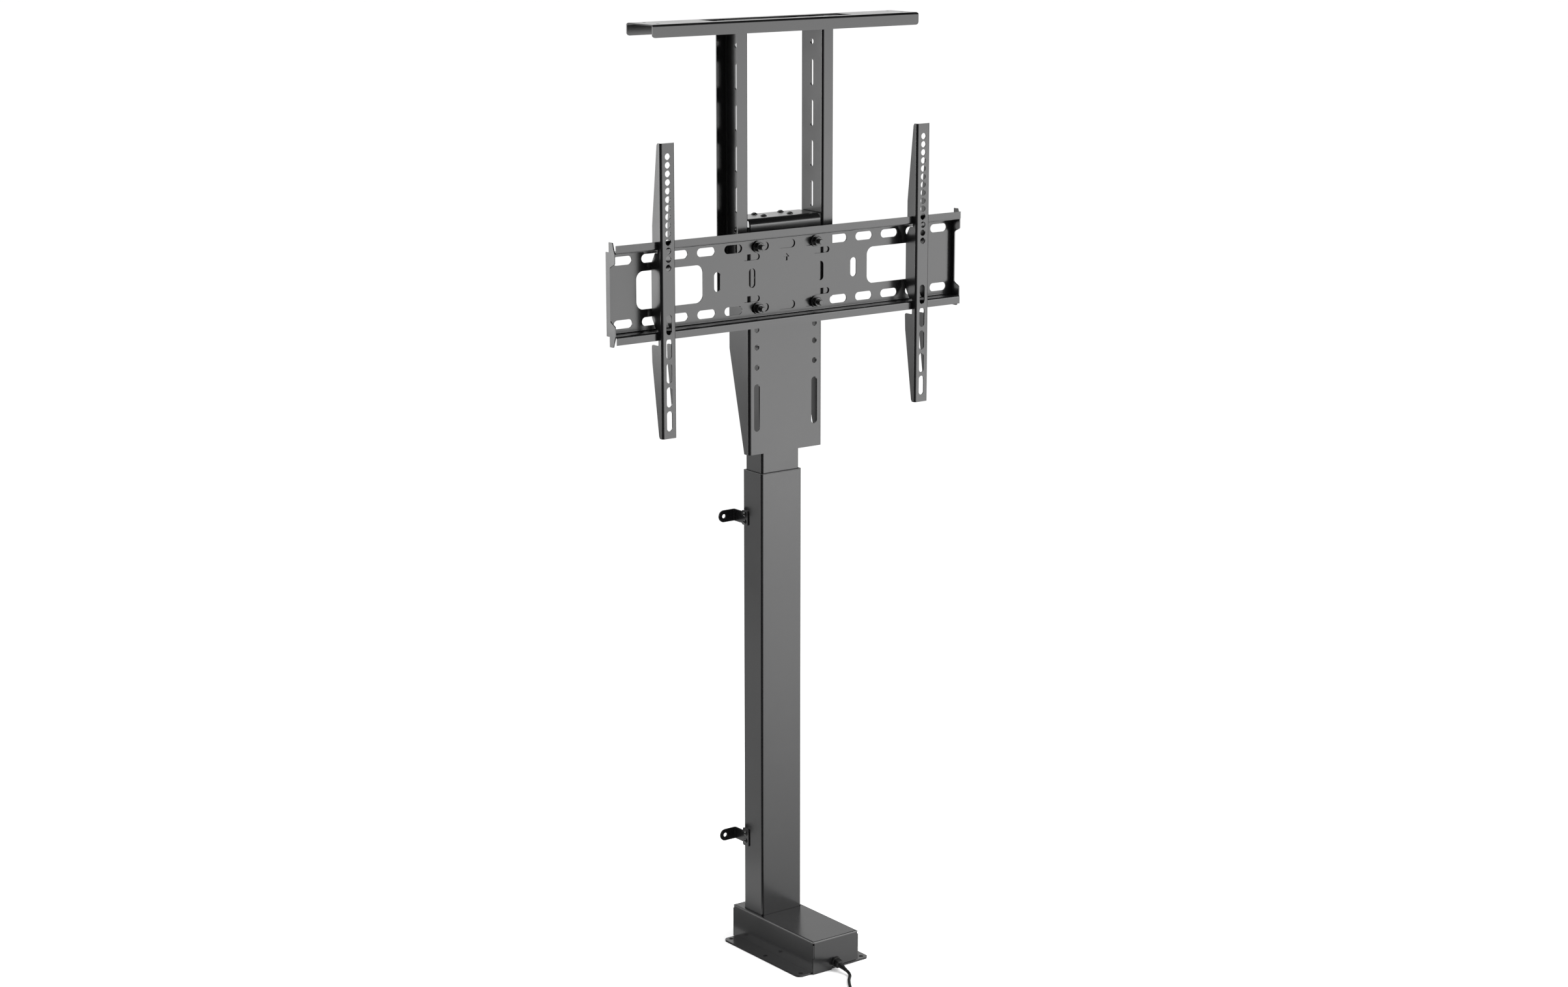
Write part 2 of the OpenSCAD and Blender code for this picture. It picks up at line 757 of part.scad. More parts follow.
module worm_wheel() {
    tooth = 360 / wheel_teeth;
    color(brass) translate([0, column_y, 0]) difference() {
        union() {
            translate([0, 0, hub_z]) cylinder(r = hub_r, h = hub_h);
            translate([0, 0, wheel_z]) linear_extrude(wheel_h) polygon([
                for (i = [0:wheel_teeth - 1], k = [-0.3, -0.18, 0.18, 0.3])
                    let (r = abs(k) < 0.2 ? wheel_r : wheel_r - tooth_depth, a = (i + k) * tooth)
                    [r * cos(a), r * sin(a)]
            ]);
        }
        cylinder(r = journal_r + fit, h = 100);
    }
}
module worm() {
    turns = floor(worm_len / worm_pitch);
    color(steel_bright) translate([worm_x, column_y, worm_z]) rotate([90, 0, 0]) difference() {
        union() {
            cylinder(r = worm_r - tooth_depth, h = worm_len, center = true);
            for (i = [0:turns - 1])
                translate([0, 0, (i - (turns - 1) / 2) * worm_pitch])
                    cylinder(r = worm_r, h = worm_pitch / 2, center = true);
        }
        cylinder(r = shaft_r + fit, h = worm_len + 2, center = true);
    }
}
module motor_shaft() {
    rear = column_y + housing_l / 2 - 4.5;
    front = housing_front + slide;
    color(steel_bright) translate([worm_x, (rear + front) / 2, worm_z])
        along_y(rear - front) circle(shaft_r);
}
module motor_body() {
    bell = 10;
    color(steel_dark) {
        translate([worm_x, housing_front - motor_len / 2, worm_z]) along_y(motor_len) circle(motor_r - 1);
        for (y = [housing_front - bell / 2, housing_front - motor_len + bell / 2])
            translate([worm_x, y, worm_z]) along_y(bell) circle(motor_r);
    }
}
module foot_screws() {
    color(steel_bright) {
        for (p = housing_screw_at) {
            translate([p[0], p[1], 0]) sunk_screw(housing_screw_d, base_t + 12);
            translate([p[0], p[1], foot_top]) rotate([180, 0, 0]) sunk_screw(housing_screw_d, foot_t + 12);
        }
    }
}

// Electronics
module power_supply() {
    color(steel_bright) translate([0, psu_y, base_t]) {
        linear_extrude(psu_h) rrect(psu_w, psu_d, 2);
        linear_extrude(1.5) rrect(psu_w + 12, psu_d * 0.5, 2);
    }
}
module board_posts() {
    color(brass) for (p = post_at) translate([p[0], p[1], base_t]) cylinder(r = post_r, h = post_h);
}
module control_board() {
    color([0.1, 0.3, 0.16]) translate([board_x, board_y, base_t + post_h])
        linear_extrude(board_t) rrect(board_w, board_l, 2);
}
module board_parts() {
    top = base_t + post_h + board_t;
    color(steel_dark) {
        for (j = [-1:1])
            translate([board_x - 7, board_y + j * 18, top + 7]) cube([13, 14, 14], center = true);
        for (j = [-1, 0]) translate([board_x + 8, board_y + 4 + j * 18, top]) cylinder(r = 5, h = 18);
        translate([board_x + 8, board_y + 22, top + 4.5]) cube([10, 12, 9], center = true);
    }
}

// Column
module outer_tube() {
    color(steel_black) {
        difference() {
            translate([0, column_y, foot_top])
                ring_tube(tube_size[0], tube_r, cavity[0], cavity_r, tube_top - foot_top);
            at_tab_screws() translate([0, 0, -10]) cylinder(d = tab_screw_d + 2 * fit, h = 12);
        }
        translate([0, column_y, 0]) difference() {
            translate([0, 0, housing_top])
                linear_extrude(foot_t) rrect(tube_w + 7, tube_d + 2 * foot_margin, 5);
            translate([0, 0, housing_top - 1]) cylinder(r = screw_r + 3, h = foot_t + 2);
            for (p = housing_screw_at)
                translate([p[0], p[1] - column_y, foot_top])
                    rotate([180, 0, 0]) sunk_hole(housing_screw_d, foot_t + 1);
        }
    }
}
// Ring that closes the gap at a tube's mouth, with a lip over its edge
module mouth_ring(i, top) {
    mouth = [tube_size[i + 1][0] + 2 * slide, tube_size[i + 1][1] + 2 * slide];
    seat = [cavity[i][0] - 2 * slide, cavity[i][1] - 2 * slide];
    translate([0, column_y, top - glide_h]) {
        ring_tube(seat, cavity_r + 0.5, mouth, tube_r - 1, glide_h + glide_lip);
        translate([0, 0, glide_h]) ring_tube(tube_size[i], tube_r, mouth, tube_r - 1, glide_lip);
    }
}
// Ring round a moving tube's foot, which runs inside the next tube out
module foot_ring(i, z) {
    translate([0, column_y, z])
        ring_tube([cavity[i - 1][0] - 2 * slide, cavity[i - 1][1] - 2 * slide], cavity_r + 1,
            [tube_size[i][0] + 2 * slide, tube_size[i][1] + 2 * slide], tube_r - 1, glide_h);
}
module outer_glide() color(glide_white) mouth_ring(0, tube_top);
module middle_top_glide() color(glide_white) mouth_ring(1, middle_z + middle_len);
module middle_foot_glide() color(glide_white) foot_ring(1, middle_z);
module inner_foot_glide() color(glide_white) foot_ring(2, inner_z);
module moving_tube(i, z, l) {
    color(steel_black) translate([0, column_y, z]) ring_tube(tube_size[i], tube_r, cavity[i], cavity_r, l);
}
module middle_tube() moving_tube(1, middle_z, middle_len);
module inner_tube() moving_tube(2, inner_z, inner_len);
module tube_block(i, z, h) {
    translate([0, column_y, z])
        linear_extrude(h) rrect(cavity[i][0] - 2 * slide, cavity[i][1] - 2 * slide, cavity_r + 1);
}

// Screws and nuts of the drive
module drive_screw() {
    color(steel_bright) translate([0, column_y, 0]) {
        translate([0, 0, base_t + 1.5]) cylinder(r = journal_r, h = housing_top - base_t);
        translate([0, 0, housing_top + 0.5]) cylinder(r = screw_r, h = drive_screw_top - housing_top - 2);
        translate([0, 0, drive_screw_top - 1.5]) cylinder(r1 = screw_r, r2 = screw_r - 1.5, h = 1.5);
    }
}
module drive_nut() {
    color(brass) translate([0, column_y, middle_z]) difference() {
        cylinder(r = drive_nut_r, h = drive_nut_h);
        translate([0, 0, -1]) cylinder(r = screw_r + fit, h = drive_nut_h + 2);
    }
}
module middle_foot_block() {
    color(glide_white) difference() {
        tube_block(1, middle_z, foot_block_h);
        translate([0, column_y, middle_z - 1]) {
            cylinder(r = drive_nut_r + fit, h = drive_nut_h + 1);
            cylinder(r = hollow_r + pass, h = 100);
            translate([0, 0, drive_nut_h + shoulder_h + 1]) cylinder(r = hollow_bearing_r + fit, h = 100);
        }
    }
}
module hollow_bearing() {
    low = drive_nut_h + shoulder_h;
    color(steel_bright) translate([0, column_y, middle_z + low]) difference() {
        cylinder(r = hollow_bearing_r, h = foot_block_h - low);
        translate([0, 0, -1]) cylinder(r = hollow_r + fit, h = 100);
    }
}
module hollow_screw() {
    color(steel_bright) translate([0, column_y, middle_z + hollow_low]) difference() {
        union() {
            cylinder(r = hollow_r, h = hollow_len);
            translate([0, 0, foot_block_h + slide - hollow_low]) cylinder(r = collar_r, h = collar_h);
        }
        translate([0, 0, -1]) cylinder(r = screw_r + hollow_room, h = hollow_len + 2);
    }
}
module hollow_nut() {
    color(brass) translate([0, column_y, inner_z]) difference() {
        cylinder(r = hollow_nut_r, h = hollow_nut_h);
        translate([0, 0, -1]) cylinder(r = hollow_r + fit, h = hollow_nut_h + 2);
    }
}
module inner_foot_block() {
    color(glide_white) difference() {
        tube_block(2, inner_z, foot_block_h);
        translate([0, column_y, inner_z - 1]) {
            cylinder(r = hollow_nut_r + fit, h = hollow_nut_h + 1);
            cylinder(r = hollow_r + pass, h = 100);
        }
    }
}
top_screw_at = [
    for (i = [-1, 1], j = [-1, 1])
        [i * top_screw_x / 2, column_y + j * top_screw_y / 2]
];
module inner_top_block() {
    color(alloy) difference() {
        tube_block(2, inner_top - top_block_h, top_block_h);
        for (p = top_screw_at)
            translate([p[0], p[1], inner_top - top_block_h - 1])
                cylinder(d = top_screw_d + 2 * fit, h = top_block_h + 2);
    }
}

// Wall tabs
tab_z = [tab_low_z, tab_high_z];
tab_pad_h = [tab_low_pad, tab_high_pad];
tab_screw_d = 4;
tab_screw_gap = 12;
module wall_tab(i, k) {
    x = tube_w / 2 + tab_t / 2;
    pad_y = column_y + tube_d / 2 - tab_pad_l;
    far_x = x + tab_reach;
    mirror([i < 0 ? 1 : 0, 0, 0]) difference() {
        union() {
            translate([0, 0, tab_z[k] - tab_h / 2]) linear_extrude(tab_h)
                bent_sheet([[x, pad_y + 1], [x, wall_y - tab_t / 2], [far_x, wall_y - tab_t / 2]], tab_t, 1);
            translate([far_x, wall_y - tab_t / 2, tab_z[k]]) along_y(tab_t) circle(d = tab_h);
            translate([x, pad_y + tab_pad_l / 2, tab_z[k]]) along_x(tab_t) rrect(tab_pad_l, tab_pad_h[k], 2);
        }
        translate([far_x, wall_y, tab_z[k]]) along_y(4 * tab_t) circle(d = tab_hole_d);
        for (j = [-1, 1])
            translate([x, pad_y + tab_pad_l / 2, tab_z[k] + j * tab_screw_gap / 2])
                along_x(4 * tab_t) circle(d = tab_screw_d + 2 * fit);
    }
}
module wall_tabs() color(steel_dark) for (i = [-1, 1], k = [0, 1]) wall_tab(i, k);
// Places of the tab screws, each turned so that its head looks outwards
module at_tab_screws() {
    pad_y = column_y + tube_d / 2 - tab_pad_l / 2;
    for (i = [-1, 1], z = tab_z, j = [-1, 1])
        translate([i * (tube_w / 2 + tab_t), pad_y, z + j * tab_screw_gap / 2])
            rotate([0, i * 90, 0]) children();
}
module wall_tab_screws() {
    color(steel_dark) at_tab_screws() button_screw(tab_screw_d, tab_t + tube_wall - 0.3);
}

// Carriage bracket
module mount_bracket() {
    r = bracket_bend + bracket_t;
    rear = bracket_front + bracket_d;
    w = bracket_w - bracket_t;
    y0 = bracket_front + bracket_t / 2;
    side = rounded([
        [bracket_front - 1, bracket_z - 1, 0],
        [bracket_front + taper_d, bracket_z - 1, 0],
        [bracket_front + taper_d, bracket_z, 6],
        [rear, bracket_z + taper_h, 12],
        [rear, bracket_top - 12, 0],
        [bracket_front - 1, bracket_top - 12, 0]
    ]);
    color(steel_black) difference() {
        union() {
            intersection() {
                translate([0, 0, bracket_z]) linear_extrude(bracket_h)
                    bent_sheet([
                        [-w / 2, rear + 5], [-w / 2, y0], [w / 2, y0], [w / 2, rear + 5]
                    ], bracket_t, 2);
                along_x(bracket_w + 2) polygon(side);
            }
            along_x(bracket_w - 2 * bracket_t - 3)
                bent_sheet([
                    [y0, bracket_top - 30], [y0, bracket_top - bracket_t / 2],
                    [rear + 3, bracket_top - bracket_t / 2]
                ], bracket_t, bracket_bend);
        }
        for (p = top_screw_at)
            translate([p[0], p[1], bracket_top - 10])
                linear_extrude(20) slot2d(2.4 * top_screw_d, top_screw_d + 0.6);
        for (i = [-1, 1]) {
            for (z = concat(bracket_hole_z, row_z, [plate_z]))
                translate([i * bolt_x / 2, bracket_front, z]) along_y(20) circle(d = bracket_hole_d);
            translate([i * bolt_x / 2, bracket_front, long_slot_z])
                along_y(20) rotate(90) slot2d(long_slot, long_slot_w);
            for (z = side_bolt_z)
                translate([i * bracket_w / 2, upright_y, z]) along_x(20) circle(d = side_bolt_d + 2 * fit);
        }
    }
}
module bracket_screws() {
    color(steel_dark)
        for (p = top_screw_at)
            translate([p[0], p[1], bracket_top]) button_screw(top_screw_d, top_block_h - 4);
}
module side_bolts() {
    x = bracket_w / 2 + upright_t + 2 * slide;
    l = x - bracket_w / 2 + bracket_t + side_nut_h + 3;
    color(steel_dark)
        for (i = [-1, 1], z = side_bolt_z)
            translate([i * x, upright_y, z]) rotate([0, i * 90, 0]) button_screw(side_bolt_d, l, 2);
}
module side_nuts() {
    x = bracket_w / 2 - bracket_t;
    color(steel_bright)
        for (i = [-1, 1], z = side_bolt_z)
            translate([i * x, upright_y, z]) rotate([0, -i * 90, 0]) difference() {
                cylinder(d = 1.9 * side_bolt_d, h = side_nut_h, $fn = 6);
                translate([0, 0, -1]) cylinder(d = side_bolt_d + 2 * fit, h = 9, $fn = 48);
            }
}

// Screen plate, with its smaller cuts
tall_slot_x = [65, 129.5];
tall_slot = [30, 12];
flat_slot_at = [66.5, 31.8];
flat_slot = [32, 9.6];
arrow_rise = 27;
module screen_plate() {
    half = plate_w / 2;
    y_lip = lip_front + plate_t / 2;
    y_back = bracket_front - plate_t / 2;
    profile = [
        [y_lip, lip_top], [y_lip, rail_top - plate_t / 2], [y_back, rail_top - plate_t / 2],
        [y_back, rail_low + plate_t / 2], [y_lip, rail_low + plate_t / 2], [y_lip, lip_low]
    ];
    color(steel_black) difference() {
        union() {
            along_x(plate_w - 2 * plate_t) bent_sheet(profile, plate_t, 1.5);
            for (i = [-1, 1])
                translate([i * (half - plate_t / 2), 0, 0]) along_x(plate_t) polygon(end_outline());
        }
        for (z = row_z, k = [-slot_reach:slot_reach])
            translate([k * slot_pitch, bracket_front, z]) along_y(20) slot2d(slot_w, slot_h);
        for (i = [-1, 1]) {
            translate([i * window_x, bracket_front, plate_z])
                along_y(20) rrect(window_w, window_h, window_r);
            for (x = tall_slot_x)
                translate([i * x, bracket_front, plate_z])
                    along_y(20) rotate(90) slot2d(tall_slot[0], tall_slot[1]);
            for (j = [-1, 1])
                translate([i * flat_slot_at[0], bracket_front, plate_z + j * flat_slot_at[1]])
                    along_y(20) slot2d(flat_slot[0], flat_slot[1]);
        }
        translate([0, bracket_front, plate_z + arrow_rise]) along_y(20)
            polygon([[-1.8, -5.7], [1.8, -5.7], [1.8, 0], [5.4, 0], [0, 5.7], [-5.4, 0], [-1.8, 0]]);
    }
}
// An end flange: shallow between the rails, deep at them, with a tab past each
function end_outline() =
    let (
        y0 = bracket_front, y1 = bracket_front - end_flange_d, y2 = lip_front + plate_t + 1,
        z0 = (rail_top - rail_low) / 2 - 16, z1 = (rail_top - rail_low) / 2, z2 = plate_h / 2 + 4
    )
    rounded([
        [y0, plate_z - z1, 0], [y1 + 2, plate_z - z1, 0], [y1 + 2, plate_z - z2, 0],
        [y1 - 7, plate_z - z2, 2], [y2, plate_z - z1, 3], [y2, plate_z - z0, 3], [y1, plate_z - z0 + 6, 4],
        [y1, plate_z + z0 - 6, 4], [y2, plate_z + z0, 3], [y2, plate_z + z1, 3], [y1 - 7, plate_z + z2, 2],
        [y1 + 2, plate_z + z2, 0], [y1 + 2, plate_z + z1, 0], [y0, plate_z + z1, 0]
    ]);
screen_bolt_at = [for (i = [-1, 1], z = row_z) [i * bolt_x / 2, z]];
module screen_bolts() {
    l = bracket_t + plate_t + washer_t + nut_h + bolt_end;
    color(steel_dark)
        for (p = screen_bolt_at)
            translate([p[0], bracket_front + bracket_t, p[1]]) rotate([-90, 0, 0]) {
                cylinder(d = 2 * screen_bolt_d, h = 4);
                translate([0, 0, -l]) cylinder(d = screen_bolt_d, h = l);
            }
}
module screen_washers() {
    color(steel_dark)
        for (p = screen_bolt_at)
            translate([p[0], plate_front, p[1]]) rotate([90, 0, 0]) difference() {
                cylinder(d = washer_d, h = washer_t);
                translate([0, 0, -1]) cylinder(d = screen_bolt_d + 2 * fit, h = washer_t + 2);
            }
}
module screen_nuts() {
    color(steel_dark)
        for (p = screen_bolt_at)
            translate([p[0], plate_front - washer_t, p[1]]) rotate([90, 0, 0]) difference() {
                cylinder(d = nut_af / cos(30), h = nut_h, $fn = 6);
                translate([0, 0, -1]) cylinder(d = screen_bolt_d + 2 * fit, h = nut_h + 2, $fn = 48);
            }
}

// Uprights and lid plate
module upright(side) {
    x0 = bracket_w / 2 + slide + upright_t / 2;
    x1 = bracket_w / 2 + upright_flange;
    dy = (upright_d - upright_t) / 2;
    h = upright_top - upright_z;
    color(steel_black) mirror([side < 0 ? 1 : 0, 0, 0]) difference() {
        union() {
            translate([0, upright_y, upright_z]) linear_extrude(h - 4)
                bent_sheet([[x1, -dy], [x0, -dy], [x0, dy], [x1, dy]], upright_t, 1.5);
            translate([0, upright_y, 0]) along_y(tab_w)
                bent_sheet([
                    [x0, upright_top - 8], [x0, upright_top - upright_t / 2],
                    [x0 + tab_out, upright_top - upright_t / 2]
                ], upright_t, 1.5);
        }
        for (k = [0:upright_slots - 1])
            translate([x0, upright_y, low_slot_z + k * upright_pitch])
                along_x(20) rotate(90) slot2d(upright_slot, upright_slot_w);
        translate([x0, upright_y, upright_top - web_hole_drop]) along_x(20) circle(d = web_hole_d);
        translate([strap_x, upright_y, upright_top - 10]) cylinder(d = strap_screw_d + 2 * fit, h = 20);
    }
}
module upright_left() upright(-1);
module upright_right() upright(1);
module lid_plate() {
    dy = (lid_d - lid_t) / 2;
    color(steel_black) difference() {
        translate([0, lid_y, 0]) intersection() {
            along_x(lid_w)
                bent_sheet([
                    [-dy, lid_top - lid_lip], [-dy, lid_top - lid_t / 2],
                    [dy, lid_top - lid_t / 2], [dy, lid_top - lid_lip]
                ], lid_t, 1.5);
            along_y(lid_d + 2) translate([0, lid_top - 50]) rrect(lid_w, 100, 3);
            along_y(lid_d + 2) translate([0, lid_top - lid_lip + 50]) rrect(lid_w, 100, 5);
        }
        translate([0, lid_y, lid_top - 10]) linear_extrude(20) rrect(lid_open_w, lid_open_d, lid_open_r);
        for (i = [-1, 1], j = [-1, 1])
            translate([i * lid_hole_x / 2, lid_y + j * lid_hole_y / 2, lid_top - 10])
                cylinder(d = lid_hole_d, h = 20);
    }
}
module lid_straps() {
    l = lid_d - 2 * lid_t - 4;
    color(steel_black)
        for (i = [-1, 1]) difference() {
            translate([i * strap_x, lid_y, lid_under - strap_t / 2])
                cube([strap_w, l, strap_t], center = true);
            translate([i * strap_x, upright_y, lid_under])
                rotate([180, 0, 0]) sunk_hole(strap_screw_d, strap_t + 1);
        }
}
module lid_screws() {
    color(steel_dark)
        for (i = [-1, 1])
            translate([i * strap_x, upright_y, lid_under]) rotate([180, 0, 0])
                sunk_screw(strap_screw_d, strap_t + upright_t + 3);
}

// Arms
module arm_side(cut) {
    rear = arm_front + hook_d;
    y0 = arm_front;
    yl = lip_front - lip_room;
    shelf = rail_top - plate_t;
    floor_z = rail_low + plate_t;
    top_y = y0 + arm_top_d - cut;
    foot_y = y0 + arm_foot_d - cut;
    neck_y = y0 + arm_neck_d - cut;
    polygon(rounded([
        [y0 - 1, arm_top + 1, 0], [y0 - 1, arm_z - 1, 0],
        [foot_y - 3, arm_z - 1, 0], [foot_y, arm_z + 3, 3],
        [rear - cut, lip_low - 34, 8], [rear + 1 - cut, lip_low - 8, 3], [yl, lip_low - 8, 2],
        [yl, floor_z + 4, 2], [y0 + 16, floor_z + 4, 3], [rear, floor_z + 20, 6],
        [rear, shelf - 20, 6], [y0 + 16, shelf - 4, 3], [yl, shelf - 4, 2],
        [yl, lip_top + slide, 0], [tongue_y, lip_top + slide, 0], [tongue_y, rail_top + 3, 1],
        [neck_y, rail_top + 3, 2], [neck_y, rail_top + 34, 12],
        [top_y, arm_top - 3, 3], [top_y - 3, arm_top + 1, 0]
    ]));
}
module arm(side) {
    rear = arm_front + hook_d;
    y0 = arm_front;
    x = (arm_w - arm_t) / 2;
    color(steel_black) translate([side * arm_x, 0, 0]) difference() {
        intersection() {
            translate([0, 0, arm_z]) linear_extrude(arm_len)
                bent_sheet([
                    [-x, rear + 5], [-x, y0 + arm_t / 2], [x, y0 + arm_t / 2], [x, rear + 5]
                ], arm_t, 1.5);
            union() {
                translate([-arm_w / 4, 0, 0]) along_x(arm_w / 2 + 1) arm_side(0);
                translate([arm_w / 4, 0, 0]) along_x(arm_w / 2 + 1) arm_side(arm_far_cut);
            }
        }
        for (k = [0:vesa_count - 1])
            translate([0, y0, arm_top - vesa_top - k * vesa_pitch]) along_y(10) circle(d = vesa_d);
        for (k = [0:arm_slot_count - 1])
            translate([0, y0, arm_z + arm_slot_rise + k * arm_slot_pitch])
                along_y(10) rotate(90) slot2d(arm_slot, arm_slot_w);
    }
}
module arm_left() arm(-1);
module arm_right() arm(1);

// Cord, its outlet and its plug
neck_r = 6;
module strain_relief() {
    color(rubber) {
        translate([0, front_y, gland_z]) {
            translate([0, -1.5, 0]) along_y(3) circle(8);
            translate([0, cover_t / 2, 0]) along_y(cover_t) circle(neck_r);
            translate([0, cover_t + 1.5, 0]) along_y(3) circle(8);
        }
        translate(boot_start) rotate([90 + boot_tilt, 0, 0]) difference() {
            cylinder(r1 = 5.5, r2 = cord_r + 0.7, h = boot_len);
            for (k = [0:3]) translate([0, 0, 10 + 4 * k]) difference() {
                cylinder(r = 9, h = 1.4);
                cylinder(r = 3, h = 1.4);
            }
        }
    }
}
module power_cord() color(rubber) swept(lead_route, cord_r, 8);
module cord_coil() color(rubber) swept(coil_route, cord_r, coil_sides);
module cord_tail() color(rubber) swept(tail_route, cord_r, 8);
module coil_tie() {
    in_x = coil_in_r - cord_r - 0.8;
    out_x = coil_out_r + cord_r + 0.6;
    top = coil_z + coil_layer + cord_r + tie_room;
    color([0.3, 0.3, 0.32]) translate([coil_x, coil_y, (top + tie_t) / 2])
        rotate(coil_angle + 180) translate([(in_x + out_x) / 2, 0, 0])
        along_y(8) difference() {
            square([out_x - in_x + 2 * tie_t, top + tie_t], center = true);
            square([out_x - in_x, top - tie_t], center = true);
        }
}
plug_l = 36;
plug_w = 26;
nose_l = 14;
module plug_frame() translate(plug_at) rotate(cord_heading) children();
module plug_body() {
    color(rubber) plug_frame() {
        rotate([0, 90, 0]) cylinder(r1 = cord_r + 1, r2 = 6, h = nose_l);
        translate([nose_l + (plug_l - nose_l) / 2 - 0.5, 0, 0]) rotate([90, 0, 90])
            linear_extrude(plug_l - nose_l + 1, center = true) rrect(plug_w, 2 * plug_z, 5);
    }
}
module plug_pins() {
    color(brass) plug_frame()
        for (i = [-1, 1]) translate([plug_l, i * 9.5, 0]) rotate([0, 90, 0]) {
            cylinder(r = 2, h = 18);
            translate([0, 0, 18]) cylinder(r1 = 2, r2 = 1.2, h = 1);
        }
}

base_plate();
base_cover();
cover_screws();
gear_housing();
gear_cap();
thrust_bearing();
worm_wheel();
worm();
motor_shaft();
motor_body();
power_supply();
control_board();
board_posts();
board_parts();
foot_screws();
outer_tube();
outer_glide();
wall_tabs();
wall_tab_screws();
drive_screw();
middle_tube();
middle_foot_block();
drive_nut();
middle_foot_glide();
middle_top_glide();
hollow_bearing();
hollow_screw();
inner_tube();
inner_foot_block();
hollow_nut();
inner_foot_glide();
inner_top_block();
mount_bracket();
bracket_screws();
side_bolts();
side_nuts();
screen_plate();
screen_bolts();
screen_washers();
screen_nuts();
upright_left();
upright_right();
lid_plate();
lid_straps();
lid_screws();
arm_left();
arm_right();
strain_relief();
power_cord();
cord_coil();
cord_tail();
coil_tie();
plug_body();
plug_pins();
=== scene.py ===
# %% [markdown]
# A floor standing lift for a flat screen, dressed for its picture. The construction is
# loaded first, as a fixed frame that nothing here may move: every size below is either
# read from it or is a real size in metres. Then come the camera and the mains cord,
# the finishes, the pieces, and last the studio.

# %% Load the frame
import json
from math import cos, pi, radians, sin

import bmesh
import bpy
import numpy as np
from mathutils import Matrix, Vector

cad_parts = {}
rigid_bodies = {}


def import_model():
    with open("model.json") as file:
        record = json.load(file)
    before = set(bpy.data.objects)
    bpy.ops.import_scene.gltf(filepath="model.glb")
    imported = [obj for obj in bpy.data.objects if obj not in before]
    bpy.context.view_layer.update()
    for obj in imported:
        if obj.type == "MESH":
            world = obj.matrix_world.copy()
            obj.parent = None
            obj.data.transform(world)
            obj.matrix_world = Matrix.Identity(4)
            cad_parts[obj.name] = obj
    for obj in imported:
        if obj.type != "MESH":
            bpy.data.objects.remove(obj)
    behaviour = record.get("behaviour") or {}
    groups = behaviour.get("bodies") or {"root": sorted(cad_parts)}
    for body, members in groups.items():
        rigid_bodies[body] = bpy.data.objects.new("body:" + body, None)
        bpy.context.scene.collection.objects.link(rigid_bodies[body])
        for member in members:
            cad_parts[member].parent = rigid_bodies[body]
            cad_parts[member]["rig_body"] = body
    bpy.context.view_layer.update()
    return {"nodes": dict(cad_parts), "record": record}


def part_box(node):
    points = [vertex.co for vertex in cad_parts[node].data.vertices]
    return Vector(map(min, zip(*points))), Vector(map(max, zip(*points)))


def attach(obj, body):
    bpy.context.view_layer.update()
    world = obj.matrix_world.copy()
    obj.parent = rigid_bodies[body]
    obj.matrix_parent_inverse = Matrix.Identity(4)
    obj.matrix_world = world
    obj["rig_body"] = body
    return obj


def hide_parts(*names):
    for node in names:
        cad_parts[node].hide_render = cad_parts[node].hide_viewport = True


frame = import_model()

MM = 0.001

# %% [markdown]
# The camera stands at the left of the lift, a little above it, with a long lens, as a
# catalogue photographer would put it so that upright edges stay nearly upright. It could
# be aimed at a target object, but a place and two angles say the same with less.

# %% Camera
camera_at = (-2.69272, -3.54129, 1.75069)
camera_tilt = 77.26
camera_turn = -37.01
camera_lens = 68.0


def make_camera():
    """A camera at its place, tilted up from straight down and turned about the upright axis."""
    data = bpy.data.cameras.new("camera")
    data.lens = camera_lens
    data.sensor_width = 36.0
    data.clip_end = 200.0
    camera = bpy.data.objects.new("camera", data)
    camera.location = camera_at
    camera.rotation_euler = (radians(camera_tilt), 0.0, radians(camera_turn))
    bpy.context.scene.collection.objects.link(camera)
    bpy.context.scene.camera = camera


make_camera()
print("camera at", camera_at, "with a", camera_lens, "mm lens")

# %% [markdown]
# Most new pieces are surfaces on a grid of points: rows along the piece, columns round
# it. Numpy works out all the points at once, and the faces are only a count of corners.
# A lathe, a sweep and a loft then differ in nothing but the formula for the points.

# %% Surfaces on grids
same_point = 1e-7


def grid_faces(rows, columns, loop_rows, loop_columns):
    """Corner numbers of every quad: cell (i, j) joins (i, j), (i, j+1), (i+1, j+1), (i+1, j)."""
    i = np.arange(rows if loop_rows else rows - 1)
    j = np.arange(columns if loop_columns else columns - 1)
    i, j = np.meshgrid(i, j, indexing="ij")
    below = ((i + 1) % rows) * columns
    beside = (j + 1) % columns
    return np.stack([i * columns + j, i * columns + beside, below + beside, below + j], -1).reshape(-1, 4)


def mesh_from_grids(name, grids):
    """One closed mesh from grids, each (points, rows join up, columns join up), doubles merged."""
    points, faces, count = [], [], 0
    for grid, loop_rows, loop_columns in grids:
        rows, columns = grid.shape[:2]
        points.append(grid.reshape(-1, 3))
        faces.append(grid_faces(rows, columns, loop_rows, loop_columns) + count)
        count += rows * columns
    mesh = bpy.data.meshes.new(name)
    mesh.from_pydata(np.concatenate(points), [], np.concatenate(faces))
    work = bmesh.new()
    work.from_mesh(mesh)
    bmesh.ops.remove_doubles(work, verts=work.verts, dist=same_point)
    bmesh.ops.recalc_face_normals(work, faces=work.faces)
    work.to_mesh(mesh)
    work.free()
    return mesh


print("faces of a closed ring of 4 by 6 points:", len(grid_faces(4, 6, True, True)))

# %% [markdown]
# Every piece is added in the same way. It shades smoothly where its faces meet at a small
# angle, gets its finish, and rides on the body of the construction that carries it. A
# piece that is made in place of a construction node also hides that node.

